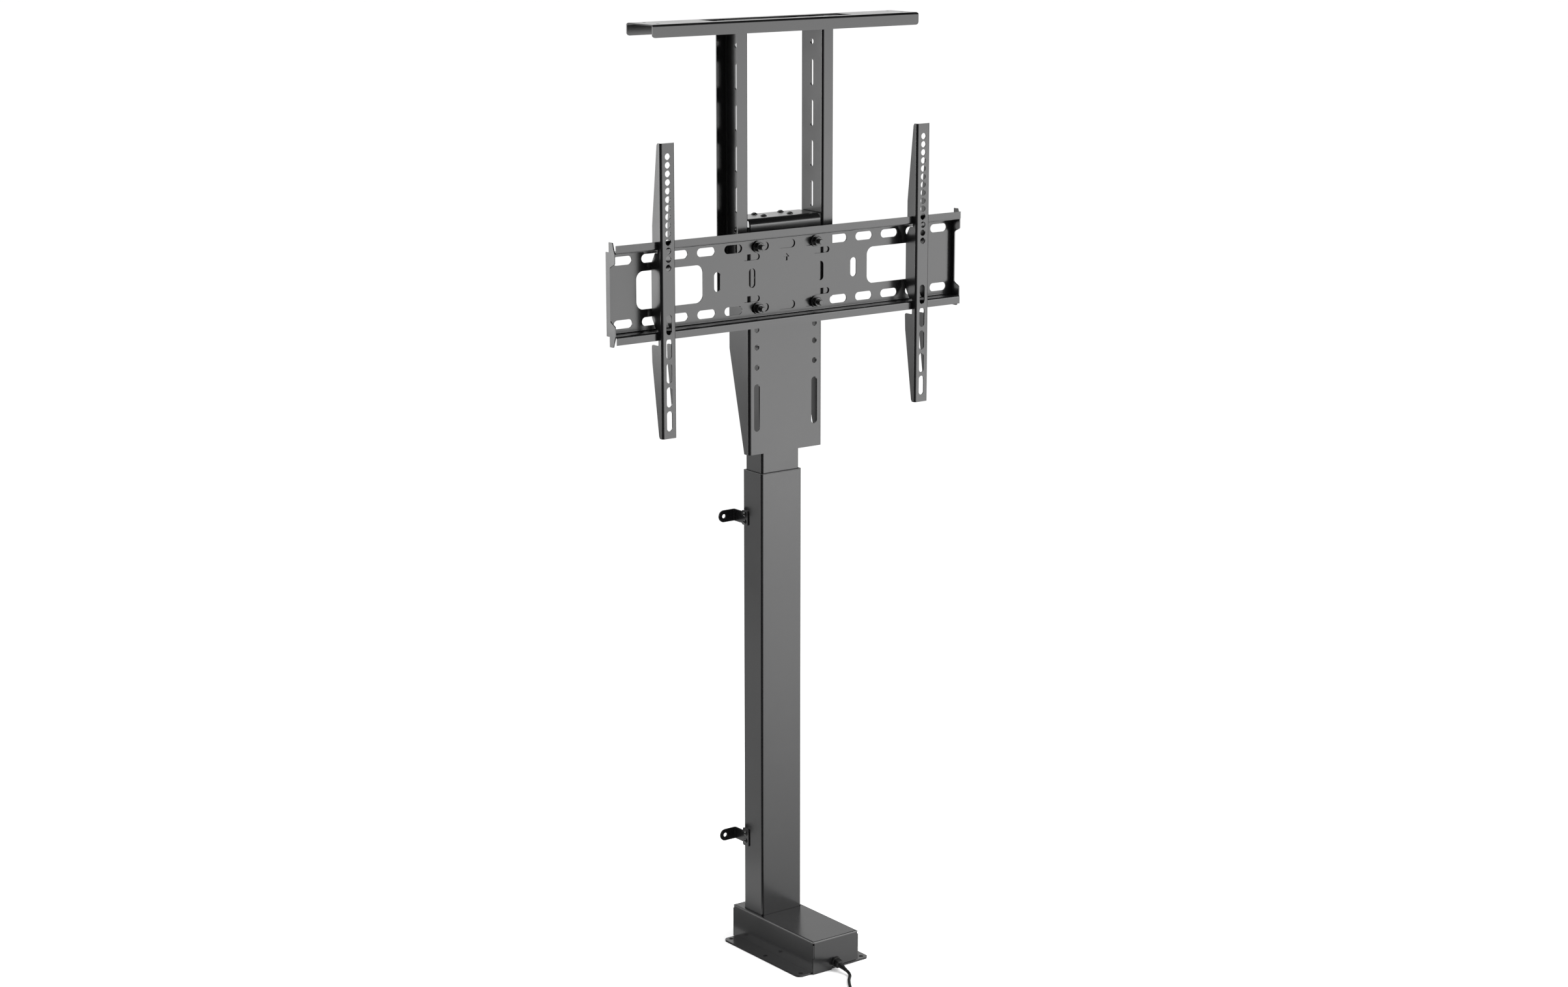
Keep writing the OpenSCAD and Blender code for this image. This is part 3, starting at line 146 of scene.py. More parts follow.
# %% Adding a piece
def smooth_under(mesh, degrees):
    """Faces shade smoothly, apart from edges sharper than the angle."""
    mesh.shade_smooth()
    mesh.set_sharp_from_angle(angle=radians(degrees))


made = {}


def add_piece(name, mesh, finish, body, stands_for, crease):
    """Links a mesh as a piece with its finish, lets it ride on a body and stand for nodes, and
    keeps edges sharp past the crease angle in degrees."""
    smooth_under(mesh, crease)
    piece = bpy.data.objects.new(name, mesh)
    bpy.context.scene.collection.objects.link(piece)
    mesh.materials.clear()
    mesh.materials.append(finishes[finish])
    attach(piece, body)
    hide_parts(*stands_for)
    made[name] = len(mesh.polygons)
    return piece


# %% [markdown]
# The mains cord leaves the front of the cover through its strain relief, drops to the
# floor and runs out of the picture. The strain relief points a little downwards, so that
# the cord starts down at once, as a heavy lead does.

# %% Exit of the cord
cord_diameter = 5 * MM
cord_radius = cord_diameter / 2
outlet = np.array([0.0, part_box("base_cover")[0].y, 13 * MM])
boot_length = 26 * MM
boot_tilt = radians(15)
boot_axis = np.array([0.0, -cos(boot_tilt), -sin(boot_tilt)])
boot_end = outlet + boot_length * boot_axis
heading = radians(237)
forward = np.array([cos(heading), sin(heading), 0.0])
print("the cord leaves its strain relief at", np.round(boot_end, 4))

# %% [markdown]
# Most of the cord lies just past the picture's edge, put away in a coil. Seven turns on one
# circle would cut each other, so the turns spiral in and out again in two layers. A formula
# gives every point of it, and keeps neighbouring turns exactly one step apart.

# %% Coil
coil_centre = np.array([-49, -281, 3.6]) * MM
coil_turns = 7
coil_middle = 30 * MM
coil_step = 5.8 * MM
coil_reach = coil_step * coil_turns / 4
coil_rings = 48
first_angle = heading - pi / 2


def coil_points(turn):
    """Radius falls from the outer turn to the inner and grows again; the height climbs one
    layer in the half turn in the middle."""
    share = np.abs(turn - coil_turns / 2) / (coil_turns / 2)
    radius = coil_middle - coil_reach + 2 * coil_reach * share
    climb = np.clip(2 * (turn - coil_turns / 2) + 0.5, 0, 1) * coil_step
    angle = first_angle + 2 * pi * turn
    return coil_centre + np.stack([radius * np.cos(angle), radius * np.sin(angle), climb], -1)


coil = coil_points(np.linspace(0, coil_turns, coil_turns * coil_rings + 1))
coil_start = coil[0] - cord_diameter * forward
coil_finish = coil[-1] + cord_diameter * forward
print("coil from", np.round(coil_start, 4), "to", np.round(coil_finish, 4))

# %% [markdown]
# The way along the floor is a list of given points, since the photograph shows
#  only its start. Short straight stretches join it to the coil, and the coil to the plug.

# %% Lead and tail
plug_gap = 34 * MM
plug_height = 8 * MM
plug_at = coil_finish + plug_gap * forward
plug_at[2] = plug_height
along_floor = np.array([
    [-1.2, -140, 3.4], [-3.8, -144.8, 2.8], [-7.4, -149, 2.5], [-11.6, -153.2, 2.5],
    [-15.6, -157.6, 2.5], [-20, -163.4, 2.5], [-26, -172, 2.5], [-33.8, -184, 2.5],
    [-41.6, -196, 2.5], [-49.4, -208, 2.5], [-57.2, -220, 2.5], [-65, -232, 2.8],
    [-72, -243, 3.3],
]) * MM
lead = np.vstack([
    boot_end, boot_end + 6 * MM * boot_axis, along_floor,
    coil_start - cord_diameter * forward, coil_start,
])
one_mm_up = np.array([0, 0, MM])
tail = np.vstack([
    coil_finish, coil_finish + cord_diameter * forward,
    coil_finish + 12 * MM * forward - 0.4 * one_mm_up,
    coil_finish + 20 * MM * forward - 0.9 * one_mm_up,
    plug_at - cord_diameter * forward, plug_at,
])
print("points of the lead:", len(lead), "and of the tail:", len(tail))

# %% [markdown]
# A real cord never has corners, so a smooth curve goes through the points. A cubic between
# each two of them, with its direction taken from their neighbours, passes through every
# point exactly, which a smoothed line would not.

# %% Smooth path
steps_between = 6


def smooth_path(points, steps):
    """A cubic through every point: each stretch leaves and arrives along the line between
    the neighbours of its ends."""
    before = np.vstack([2 * points[0] - points[1], points[:-1]])
    after = np.vstack([points[1:], 2 * points[-1] - points[-2]])
    pace = (after - before) / 2
    t = np.linspace(0, 1, steps, endpoint=False)[None, :, None]
    a, b = points[:-1, None], points[1:, None]
    u, v = pace[:-1, None], pace[1:, None]
    way = (2 * t**3 - 3 * t**2 + 1) * a + (t**3 - 2 * t**2 + t) * u
    way = way + (3 * t**2 - 2 * t**3) * b + (t**3 - t**2) * v
    return np.vstack([way.reshape(-1, 3), points[-1]])


cord_path = np.vstack([smooth_path(lead, steps_between), coil, smooth_path(tail, steps_between)])
cord_path[:, 2] = np.maximum(cord_path[:, 2], cord_radius)

# %% [markdown]
# A tube is a ring carried along the path. At each point the ring stands square to the
# path, with one side level, so that it never twists. Both ends close in a point.

# %% Tube along a path
def tube_grid(path, radius, sides):
    """Point + radius * (cos a * sideways + sin a * upwards), for a ring of angles a."""
    ahead = np.gradient(path, axis=0)
    ahead /= np.linalg.norm(ahead, axis=1, keepdims=True)
    aside = np.cross(ahead, [0.0, 0.0, 1.0])
    aside /= np.linalg.norm(aside, axis=1, keepdims=True)
    upward = np.cross(aside, ahead)
    a = np.linspace(0, 2 * pi, sides, endpoint=False)[None, :, None]
    ring = radius * (np.cos(a) * aside[:, None] + np.sin(a) * upward[:, None])
    body = path[:, None] + ring
    first = np.repeat(path[:1, None], sides, axis=1)
    last = np.repeat(path[-1:, None], sides, axis=1)
    return np.concatenate([first, body, last])


cord_grid = tube_grid(cord_path, cord_radius, 16)
print("rings and sides of the cord's tube:", cord_grid.shape[:2])

# %% [markdown]
# The finishes come next. Each is a Principled shader whose colour, gloss and grain come
# from noise. A picture of paint would need a way to lie on every piece, and noise needs
# none. Every pattern reads Object coordinates, so it stays on the piece when the lift moves.
# Most values of a noise lie between 0.3 and 0.7, so two tones are spread over that stretch.

# %% Helpers for finishes
finishes = {}
noise_low, noise_high = 0.3, 0.7


def new_finish(name, roughness, metallic=0.0, specular=0.5, coat=0.0):
    """An empty finish: its shader, with the values that are the same all over."""
    material = bpy.data.materials.new(name)
    material.use_nodes = True
    shader = material.node_tree.nodes["Principled BSDF"]
    shader.inputs["Roughness"].default_value = roughness
    shader.inputs["Metallic"].default_value = metallic
    shader.inputs["Specular IOR Level"].default_value = specular
    shader.inputs["Coat Weight"].default_value = coat
    shader.inputs["Coat Roughness"].default_value = 0.2
    finishes[name] = material
    return material.node_tree, shader


def object_noise(tree, scale, detail=4.0, stretch=(1, 1, 1)):
    """Noise on Object coordinates, a number from 0 to 1 at each point; stretch scales it per axis."""
    place = tree.nodes.new("ShaderNodeTexCoord")
    turn = tree.nodes.new("ShaderNodeMapping")
    turn.inputs["Scale"].default_value = stretch
    noise = tree.nodes.new("ShaderNodeTexNoise")
    noise.inputs["Scale"].default_value = scale
    noise.inputs["Detail"].default_value = detail
    tree.links.new(place.outputs["Object"], turn.inputs["Vector"])
    tree.links.new(turn.outputs["Vector"], noise.inputs["Vector"])
    return noise.outputs["Fac"]


def ramp_to(tree, fac, socket, low, dark, high, light):
    """Colours from dark at the number low to light at the number high, linked to a shader socket."""
    ramp = tree.nodes.new("ShaderNodeValToRGB")
    for stop, at, colour in zip(ramp.color_ramp.elements, (low, high), (dark, light)):
        stop.position = at
        stop.color = (*colour, 1.0)
    tree.links.new(fac, ramp.inputs["Fac"])
    tree.links.new(ramp.outputs["Color"], socket)


def vary_to(tree, fac, socket, least, most):
    """The number fac, spread from least to most and linked to a shader socket."""
    spread = tree.nodes.new("ShaderNodeMapRange")
    spread.inputs["From Min"].default_value = noise_low
    spread.inputs["From Max"].default_value = noise_high
    spread.inputs["To Min"].default_value = least
    spread.inputs["To Max"].default_value = most
    tree.links.new(fac, spread.inputs["Value"])
    tree.links.new(spread.outputs["Result"], socket)


def raise_grain(tree, shader, fac, height):
    """A bump of that height in metres where fac is 1."""
    bump = tree.nodes.new("ShaderNodeBump")
    bump.inputs["Distance"].default_value = height
    bump.inputs["Strength"].default_value = 1.0
    tree.links.new(fac, bump.inputs["Height"])
    tree.links.new(bump.outputs["Normal"], shader.inputs["Normal"])


print("noise used between", noise_low, "and", noise_high)

# %% [markdown]
# Almost the whole lift is sheet steel in black powder coat: a satin skin with a very fine
# grain, from a paint baked on as dust. It could be one flat grey, but then large faces look
# like paper. Here a slow noise varies the colour and the gloss by a little, and a fine one
# raises the grain. The screws' oxide, the motor's paint and the moulded rings are made in
# the same way, each with its own tones and grain.

# %% Paints
def grained(name, dark, light, rough, grain, height, cloud=18.0, **values):
    """A finish in two tones: colour and gloss drift with a noise of scale cloud, and the finer
    noise of scale grain stands up by the height in metres."""
    tree, shader = new_finish(name, sum(rough) / 2, **values)
    drift = object_noise(tree, cloud)
    ramp_to(tree, drift, shader.inputs["Base Color"], noise_low, dark, noise_high, light)
    vary_to(tree, drift, shader.inputs["Roughness"], *rough)
    raise_grain(tree, shader, object_noise(tree, grain, 2.0), height)


grained("black_steel", dark=(0.0045, 0.0045, 0.0048), light=(0.006, 0.006, 0.0063),
        rough=(0.19, 0.24), grain=1600, height=0.004 * MM)
grained("black_hardware", dark=(0.006, 0.006, 0.006), light=(0.012, 0.012, 0.012),
        rough=(0.22, 0.34), grain=2400, height=0.004 * MM)
grained("glide_plastic", dark=(0.015, 0.015, 0.016), light=(0.022, 0.022, 0.023),
        rough=(0.42, 0.52), grain=3000, height=0.008 * MM)
grained("motor_paint", dark=(0.016, 0.017, 0.019), light=(0.026, 0.027, 0.030),
        rough=(0.3, 0.42), grain=900, height=0.02 * MM, coat=0.3)
grained("component_black", dark=(0.018, 0.018, 0.02), light=(0.035, 0.035, 0.037),
        rough=(0.35, 0.55), grain=1200, height=0.01 * MM)
print("finishes so far:", sorted(finishes))

# %% [markdown]
# Bare metals show how they were made. Turned and ground steel has fine rings or scratches,
# cast alloy is sandy, bronze is warm and slightly stained, and the power supply's case is
# galvanised, with the flat crystals that zinc leaves.

# %% Bare metals
def streaked(name, dark, light, rough, stretch, height):
    """A metal whose noise is drawn out along one axis, as a tool leaves it."""
    tree, shader = new_finish(name, sum(rough) / 2, metallic=1.0)
    streaks = object_noise(tree, 700.0, 3.0, stretch)
    ramp_to(tree, streaks, shader.inputs["Base Color"], noise_low, dark, noise_high, light)
    vary_to(tree, streaks, shader.inputs["Roughness"], *rough)
    raise_grain(tree, shader, streaks, height)


def galvanised(name):
    """Zinc crystals: flat patches a few millimetres wide, each with its own grey and gloss."""
    tree, shader = new_finish(name, 0.4, metallic=1.0)
    place = tree.nodes.new("ShaderNodeTexCoord")
    patches = tree.nodes.new("ShaderNodeTexVoronoi")
    patches.inputs["Scale"].default_value = 140.0
    tree.links.new(place.outputs["Object"], patches.inputs["Vector"])
    grey = patches.outputs["Color"]
    ramp_to(tree, grey, shader.inputs["Base Color"], 0.1, (0.38, 0.39, 0.4), 0.9, (0.6, 0.61, 0.62))
    vary_to(tree, grey, shader.inputs["Roughness"], 0.3, 0.5)


streaked("bright_steel", dark=(0.46, 0.46, 0.47), light=(0.62, 0.62, 0.63),
         rough=(0.2, 0.34), stretch=(0.15, 0.15, 1), height=0.004 * MM)
streaked("pin_brass", dark=(0.66, 0.60, 0.50), light=(0.80, 0.76, 0.68),
         rough=(0.14, 0.26), stretch=(1, 1, 0.2), height=0.002 * MM)
grained("cast_alloy", dark=(0.36, 0.37, 0.38), light=(0.5, 0.5, 0.51),
        rough=(0.42, 0.6), grain=700, height=0.05 * MM, metallic=0.9)
grained("bronze", dark=(0.42, 0.25, 0.09), light=(0.58, 0.38, 0.16),
        rough=(0.24, 0.4), grain=1500, height=0.01 * MM, metallic=1.0)
galvanised("case_steel")
print("finishes so far:", len(finishes))

# %% [markdown]
# The last finishes are plastics. The cord's jacket is soft black PVC with a dull sheen, the
# plug is the same in a harder grade with a spark eroded texture, the tie is a grey hook
# and loop strap, and the circuit board has green lacquer over its copper tracks.

# %% Plastics and board
grained("cord_rubber", dark=(0.004, 0.004, 0.004), light=(0.007, 0.007, 0.007),
        rough=(0.4, 0.5), grain=1800, height=0.01 * MM, cloud=60.0, specular=0.2)
grained("plug_plastic", dark=(0.012, 0.012, 0.013), light=(0.02, 0.02, 0.021),
        rough=(0.42, 0.52), grain=1400, height=0.03 * MM, cloud=60.0)
grained("tie_plastic", dark=(0.07, 0.07, 0.075), light=(0.13, 0.13, 0.135),
        rough=(0.7, 0.9), grain=1100, height=0.25 * MM, cloud=300.0)


def circuit_board(name):
    """Green lacquer in two shades, in rows of oblong fields with paler tracks between them."""
    tree, shader = new_finish(name, 0.3, coat=0.4)
    place = tree.nodes.new("ShaderNodeTexCoord")
    tracks = tree.nodes.new("ShaderNodeTexBrick")
    tracks.inputs["Scale"].default_value = 260.0
    tracks.inputs["Mortar Size"].default_value = 0.09
    tracks.inputs["Color1"].default_value = (0.008, 0.055, 0.02, 1)
    tracks.inputs["Color2"].default_value = (0.010, 0.075, 0.026, 1)
    tracks.inputs["Mortar"].default_value = (0.03, 0.14, 0.05, 1)
    tree.links.new(place.outputs["Object"], tracks.inputs["Vector"])
    tree.links.new(tracks.outputs["Color"], shader.inputs["Base Color"])
    raise_grain(tree, shader, tracks.outputs["Fac"], 0.03 * MM)


circuit_board("board_green")
print("finishes:", len(finishes))

# %% [markdown]
# With its finish ready, the cord is made. One tube stands for the lead, the coil and the
# tail, because the real cord is one length.

# %% Cord
cord_nodes = ("power_cord", "cord_coil", "cord_tail")
cord_mesh = mesh_from_grids("mains_cord", [(cord_grid, False, True)])
cord = add_piece("mains_cord", cord_mesh, "cord_rubber", "base", cord_nodes, 60)
print("cord faces:", made["mains_cord"])

# %% [markdown]
# Sheet steel has edges that are deburred and coated, so each edge catches a thin line of
# light. The frame's own meshes are exact but knife sharp. Each visible one is copied, its
# loose triangles are joined and its flat facets merged, and a small bevel rounds what is
# sharp. The normals are weighted by face area, which keeps wide faces flat beside bends.

# %% Rounded copies of the frame's pieces
loose_gap = 2e-6
same_plane = radians(0.3)
sharp_angle = 31


def rounded_copy(node, finish, width, body):
    """The node's own surface with its sharp edges rounded to the given width in metres."""
    work = bmesh.new()
    work.from_mesh(frame["nodes"][node].data)
    bmesh.ops.remove_doubles(work, verts=work.verts, dist=loose_gap)
    bmesh.ops.dissolve_limit(work, angle_limit=same_plane, verts=work.verts, edges=work.edges)
    mesh = bpy.data.meshes.new(node + "_rounded")
    work.to_mesh(mesh)
    work.free()
    if mesh.attributes.get("custom_normal"):
        mesh.attributes.remove(mesh.attributes["custom_normal"])
    piece = add_piece(node + "_rounded", mesh, finish, body, (node,), sharp_angle)
    bevel = piece.modifiers.new("edges", "BEVEL")
    bevel.width = width
    bevel.segments = 2
    bevel.limit_method = "ANGLE"
    bevel.angle_limit = radians(sharp_angle)
    bevel.use_clamp_overlap = True
    weigh = piece.modifiers.new("flat faces", "WEIGHTED_NORMAL")
    weigh.keep_sharp = False


print("edges sharper than", sharp_angle, "degrees are rounded")

# %% [markdown]
# The sheet is 1.5 to 3 mm thick, and paint rounds its deburred edges to a radius of about
# half a millimetre. The two moulded rings at the tubes' rims have finer edges. Each copy
# rides on the body that the construction gives its node.

# %% Sheet steel and rim rings
body_of_node = {name: node["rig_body"] for name, node in frame["nodes"].items()}
sheet_edge = 0.5 * MM
ring_edge = 0.25 * MM
sheet_steel = [
    "base_plate", "base_cover", "outer_tube", "wall_tabs", "middle_tube", "inner_tube",
    "mount_bracket", "screen_plate", "upright_left", "upright_right", "lid_plate", "lid_straps",
    "arm_left", "arm_right",
]
for node in sheet_steel:
    rounded_copy(node, "black_steel", sheet_edge, body_of_node[node])
for node in ["outer_glide", "middle_top_glide"]:
    rounded_copy(node, "glide_plastic", ring_edge, body_of_node[node])
print("rounded:", {name: faces for name, faces in made.items() if name.endswith("_rounded")})

# %% [markdown]
# Screws, nuts and washers are turned on a lathe in the factory, and here too: a row is a
# ring with a distance from the axis and a height, and either may change on the way round.
# A hexagon is then only a distance that changes with the angle, and a thread is a wave
# that climbs as it goes round. A modelled thread catches light as a bump never does.

# %% Lathe
around = np.linspace(0, 2 * pi, 48, endpoint=False)


def hexagon(across):
    """Distance from the axis to a hexagon's side: half its width over cos(angle from the flat)."""
    return across / 2 / np.cos(around % (pi / 3) - pi / 6)


def turned(rows):
    """A grid from rows of (distance, height), each a number or an array round the axis."""
    full = [np.broadcast_arrays(distance, height, around)[:2] for distance, height in rows]
    distance = np.stack([r for r, _ in full])
    height = np.stack([z for _, z in full])
    return np.stack([distance * np.cos(around), distance * np.sin(around), height], -1)


def placed(grid, at, axis, closed=False):
    """The grid with its own Z along the axis, and its X along the lift's X, or Z where X is the
    axis. Closed says that its last row joins its first."""
    z = np.array(axis, float)
    x = np.array([0.0, 0.0, 1.0]) if abs(z[0]) > 0.9 else np.array([1.0, 0.0, 0.0])
    return grid @ np.stack([x, np.cross(z, x), z]) + np.array(at), closed, True


print("a 10 mm hexagon is", round(2 * float(hexagon(10 * MM).max()) / MM, 2), "mm over its corners")

# %% [markdown]
# A thread is the same wave at every angle, shifted by the height that it climbs. Its crests
# and valleys are cut flat, as a die and a rolling mill leave them. Starts counts the threads
# that run side by side, and hand is 1 for a right hand thread and -1 for a left hand one.

# %% Threads
rows_per_pitch = 8
flat_share = 0.2
flank_share = 0.6


def thread(radius, depth, pitch, low, high, starts=1, hand=1):
    """Radius less depth in the valleys: a zigzag of height / pitch - hand * starts * turn, cut
    flat over a share of its crests and valleys."""
    rows = max(2, int(abs(high - low) / pitch * rows_per_pitch) + 1)
    height = np.linspace(low, high, rows)[:, None]
    turn = around[None, :] / (2 * pi)
    zigzag = np.abs(2 * ((height / pitch - hand * starts * turn) % 1) - 1)
    distance = radius - depth * np.clip((zigzag - flat_share) / flank_share, 0, 1)
    height = np.broadcast_to(height, distance.shape)
    return np.stack([distance * np.cos(around), distance * np.sin(around), height], -1)


def thread_pitch(diameter):
    """Coarse pitches of metric screws, near enough: a tenth of the diameter and 0.4 mm."""
    return 0.105 * diameter + 0.4 * MM


def shank(diameter, length):
    """A threaded shank from height 0 down, with a chamfered end."""
    depth = 0.08 * diameter
    body = thread(diameter / 2, depth, thread_pitch(diameter), -0.2 * MM, depth - length)
    end = turned([(diameter / 2 - depth, -length), (0, -length)])
    return np.concatenate([body, end])


print("pitch of a 5 mm screw:", round(thread_pitch(5 * MM) / MM, 3), "mm")

# %% [markdown]
# Two kinds of head hold the lift together: low domes with a hexagon socket, and flush
# heads. The screws behind the bracket are low domes too, only wider, so one function turns
# them all and takes their sizes.

# %% Screw heads
def dome_screw(diameter, length, head, height, socket):
    """A low dome: height falls with the square of the distance, from the socket to the rim."""
    edge = 0.15 * MM
    rim = 0.3 * height
    socket_depth = 0.75 * height
    well = height - socket_depth
    r = np.linspace(0.6 * socket, head / 2 - edge, 8)
    dome = [(x, rim + (height - rim) * (1 - (2 * x / head) ** 2)) for x in r]
    top = dome[0][1]
    rows = [(0, well - 0.1 * MM), (0.98 * hexagon(socket), well), (hexagon(socket), top - 0.1 * MM)]
    rows += dome + [(head / 2, rim - edge), (head / 2, edge), (head / 2 - edge, 0), (diameter / 2, 0)]
    return np.concatenate([turned(rows), shank(diameter, length)])


def flush_screw(diameter, length, socket):
    """A countersunk head, twice the shank's diameter, that narrows over half a diameter."""
    edge = 0.1 * MM
    well = -0.35 * diameter
    rows = [(0, well - edge), (0.97 * hexagon(socket), well), (hexagon(socket), -edge / 2)]
    rows += [(0.6 * socket + edge, 0), (diameter - edge, 0), (diameter, -edge)]
    rows += [(diameter / 2, -diameter / 2)]
    low = shank(diameter, length - diameter / 2) - np.array([0, 0, diameter / 2])
    return np.concatenate([turned(rows), low])


print("rows of a 5 by 16 mm screw:", len(dome_screw(5 * MM, 16 * MM, 9.5 * MM, 3 * MM, 3 * MM)))

# %% [markdown]
# Fasteners of one kind are one piece, because the construction has them as one node. Their
# places are read from the node's box, so that they follow it if a size changes. A button
# head's height is a share of its screw's diameter.

# %% Places of fasteners
button_share = 0.6


def corners(node, inset, axes):
    """Places a little inside a node's box, at both ends along the given axes and midway along the rest."""
    low, high = (np.array(corner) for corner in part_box(node))
    ends = [(low[k] + inset, high[k] - inset) if k in axes else ((low[k] + high[k]) / 2,) for k in range(3)]
    return [np.array([x, y, z]) for x in ends[0] for y in ends[1] for z in ends[2]]


def fasten(name, node, grids, body, finish="black_hardware"):
    """A group of fasteners that stands for one node."""
    add_piece(name, mesh_from_grids(name, grids), finish, body, (node,), 30)


print("places of the bracket's screws:", len(corners("bracket_screws", 0.0, (0, 1))))

# %% [markdown]
# Four button heads lie over the short slots in the bracket's top, and hold it to the block
# in the inner tube. Each stands on the sheet with its axis upright.

# %% Top screws
top_screw = 5 * MM
top_head = 1.9 * top_screw
top_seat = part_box("bracket_screws")[1].z - button_share * top_screw
top_grid = dome_screw(top_screw, 16 * MM, top_head, button_share * top_screw, 3 * MM)
grids = []
for x, y, _ in corners("bracket_screws", top_head / 2, (0, 1)):
    grids.append(placed(top_grid, (x, y, top_seat), (0, 0, 1)))
fasten("top_screws", "bracket_screws", grids, "carriage")
print("faces of the top screws:", made["top_screws"])

# %% [markdown]
# The uprights hang on bolts through the bracket's flanges, with their heads outside. The
# lid frame slides up and down on them when they are loose, so they ride with the bracket.

# %% Side bolts
side_bolt = 6 * MM
side_head = 2 * side_bolt
side_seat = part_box("side_bolts")[1].x - button_share * side_bolt
side_grid = dome_screw(side_bolt, 12.6 * MM, side_head, button_share * side_bolt, 4 * MM)
grids = []
for x, y, z in corners("side_bolts", side_head / 2, (0, 2)):
    side = float(np.sign(x))
    grids.append(placed(side_grid, (side * side_seat, y, z), (side, 0, 0)))
fasten("side_bolts_turned", "side_bolts", grids, "carriage")
print("faces of the side bolts:", made["side_bolts_turned"])

# %% [markdown]
# Each wall tab is held to the column by two small screws, one above the other. The box
# gives the outer screw of each pair, and the other sits a fixed step towards the middle.

# %% Wall tab screws
tab_screw = 4 * MM
tab_head = 1.9 * tab_screw
tab_gap = 12 * MM
tab_low, tab_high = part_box("wall_tab_screws")
tab_seat = tab_high.x - button_share * tab_screw
tab_grid = dome_screw(tab_screw, 3.2 * MM, tab_head, button_share * tab_screw, 2.5 * MM)
grids = []
for x, y, z in corners("wall_tab_screws", tab_head / 2, (0, 2)):
    side = float(np.sign(x))
    inward = tab_gap if z < (tab_low.z + tab_high.z) / 2 else -tab_gap
    for rise in (0, inward):
        grids.append(placed(tab_grid, (side * tab_seat, y, z + rise), (side, 0, 0)))
fasten("tab_screws_turned", "wall_tab_screws", grids, "base")
print("faces of the wall tabs' screws:", made["tab_screws_turned"])

# %% [markdown]
# Flush screws sit where a bump would be in the way: under the base plate, where they hold the
# cover's feet, and in the straps under the lid. The head narrows towards the shank and fills
# a cone of the same angle, so only a disc with its socket shows.

# %% Flush screws
flush = 4 * MM
flush_socket = 2.5 * MM


def flush_row(node, length, axes, height, axis):
    """Flush screws at the corners of a node's box, with their heads at one height."""
    screw = flush_screw(flush, length, flush_socket)
    return [placed(screw, (x, y, height), axis) for x, y, _ in corners(node, flush, axes)]


under_cover = flush_row("cover_screws", 6 * MM, (0, 1), 0, (0, 0, -1))
fasten("cover_screws_turned", "cover_screws", under_cover, "base", "bright_steel")
in_straps = flush_row("lid_screws", 7 * MM, (0,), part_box("lid_screws")[1].z, (0, 0, 1))
fasten("lid_screws_turned", "lid_screws", in_straps, "lid_frame")
print("flush screws:", len(under_cover), "in the base and", len(in_straps), "in the lid")

# %% [markdown]
# A nut is a hexagon with slanted corners, which let a spanner slide on, and a washer is a
# flat ring. Both are closed rings on the lathe: their last row joins their first.

# %% Nuts and washers
def hex_nut(across, height, bore):
    """A hexagon whose ends drop by tan 30 degrees where it reaches past the circle of its flats."""
    flat = 0.96 * across / 2
    drop = np.tan(radians(30)) * np.maximum(hexagon(across) - flat, 0)
    hole = bore / 2
    edge = 0.4 * MM
    rows = [(hole, edge), (hole, height - edge), (hole + edge, height), (flat, height)]
    rows += [(hexagon(across), height - drop), (hexagon(across), drop), (flat, 0), (hole + edge, 0)]
    return turned(rows)


def washer(outer, bore, height):
    """A flat ring with its edges broken."""
    r, edge = outer / 2, 0.25 * MM
    rows = [(bore / 2, 0), (bore / 2, height), (r - edge, height), (r, height - edge)]
    return turned(rows + [(r, edge), (r - edge, 0)])


print("rows of a nut:", len(hex_nut(13 * MM, 6 * MM, 8 * MM)))

# %% [markdown]
# The screen plate hangs on four bolts. Their ends stand out of the nuts, so their threads
# show in the picture. Heads sit behind the bracket, and washers and nuts in front.

# %% Bolts of the screen plate
plate_bolt = 8 * MM
bolt_head = 16 * MM
bolt_head_height = 4 * MM
front_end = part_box("screen_bolts")[0].y
rear_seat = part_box("screen_bolts")[1].y - bolt_head_height
nut_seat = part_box("screen_nuts")[1].y
washer_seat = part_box("screen_washers")[1].y
nut_height = nut_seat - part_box("screen_nuts")[0].y
washer_height = washer_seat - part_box("screen_washers")[0].y
bolt = dome_screw(plate_bolt, rear_seat - front_end, bolt_head, bolt_head_height, 5 * MM)
nut = hex_nut(13 * MM, nut_height, plate_bolt)
ring = washer(18 * MM, plate_bolt, washer_height)
bolts, nuts, washers = [], [], []
for x, _, z in corners("screen_bolts", bolt_head / 2, (0, 2)):
    bolts.append(placed(bolt, (x, rear_seat, z), (0, 1, 0)))
    nuts.append(placed(nut, (x, nut_seat, z), (0, -1, 0), closed=True))
    washers.append(placed(ring, (x, washer_seat, z), (0, -1, 0), closed=True))
fasten("screen_bolts_turned", "screen_bolts", bolts, "carriage")
fasten("screen_nuts_turned", "screen_nuts", nuts, "carriage")
fasten("screen_washers_turned", "screen_washers", washers, "carriage")
print("bolts:", made["screen_bolts_turned"], "nuts:", made["screen_nuts_turned"])

# %% [markdown]
# The side bolts' nuts sit inside the bracket's flanges. They are zinc plated, because nobody
# sees them behind the screen, and a plated nut is the cheaper one. The ends of the node's box
# are the nuts' corners, so a nut's middle lies half its width over the corners further in.

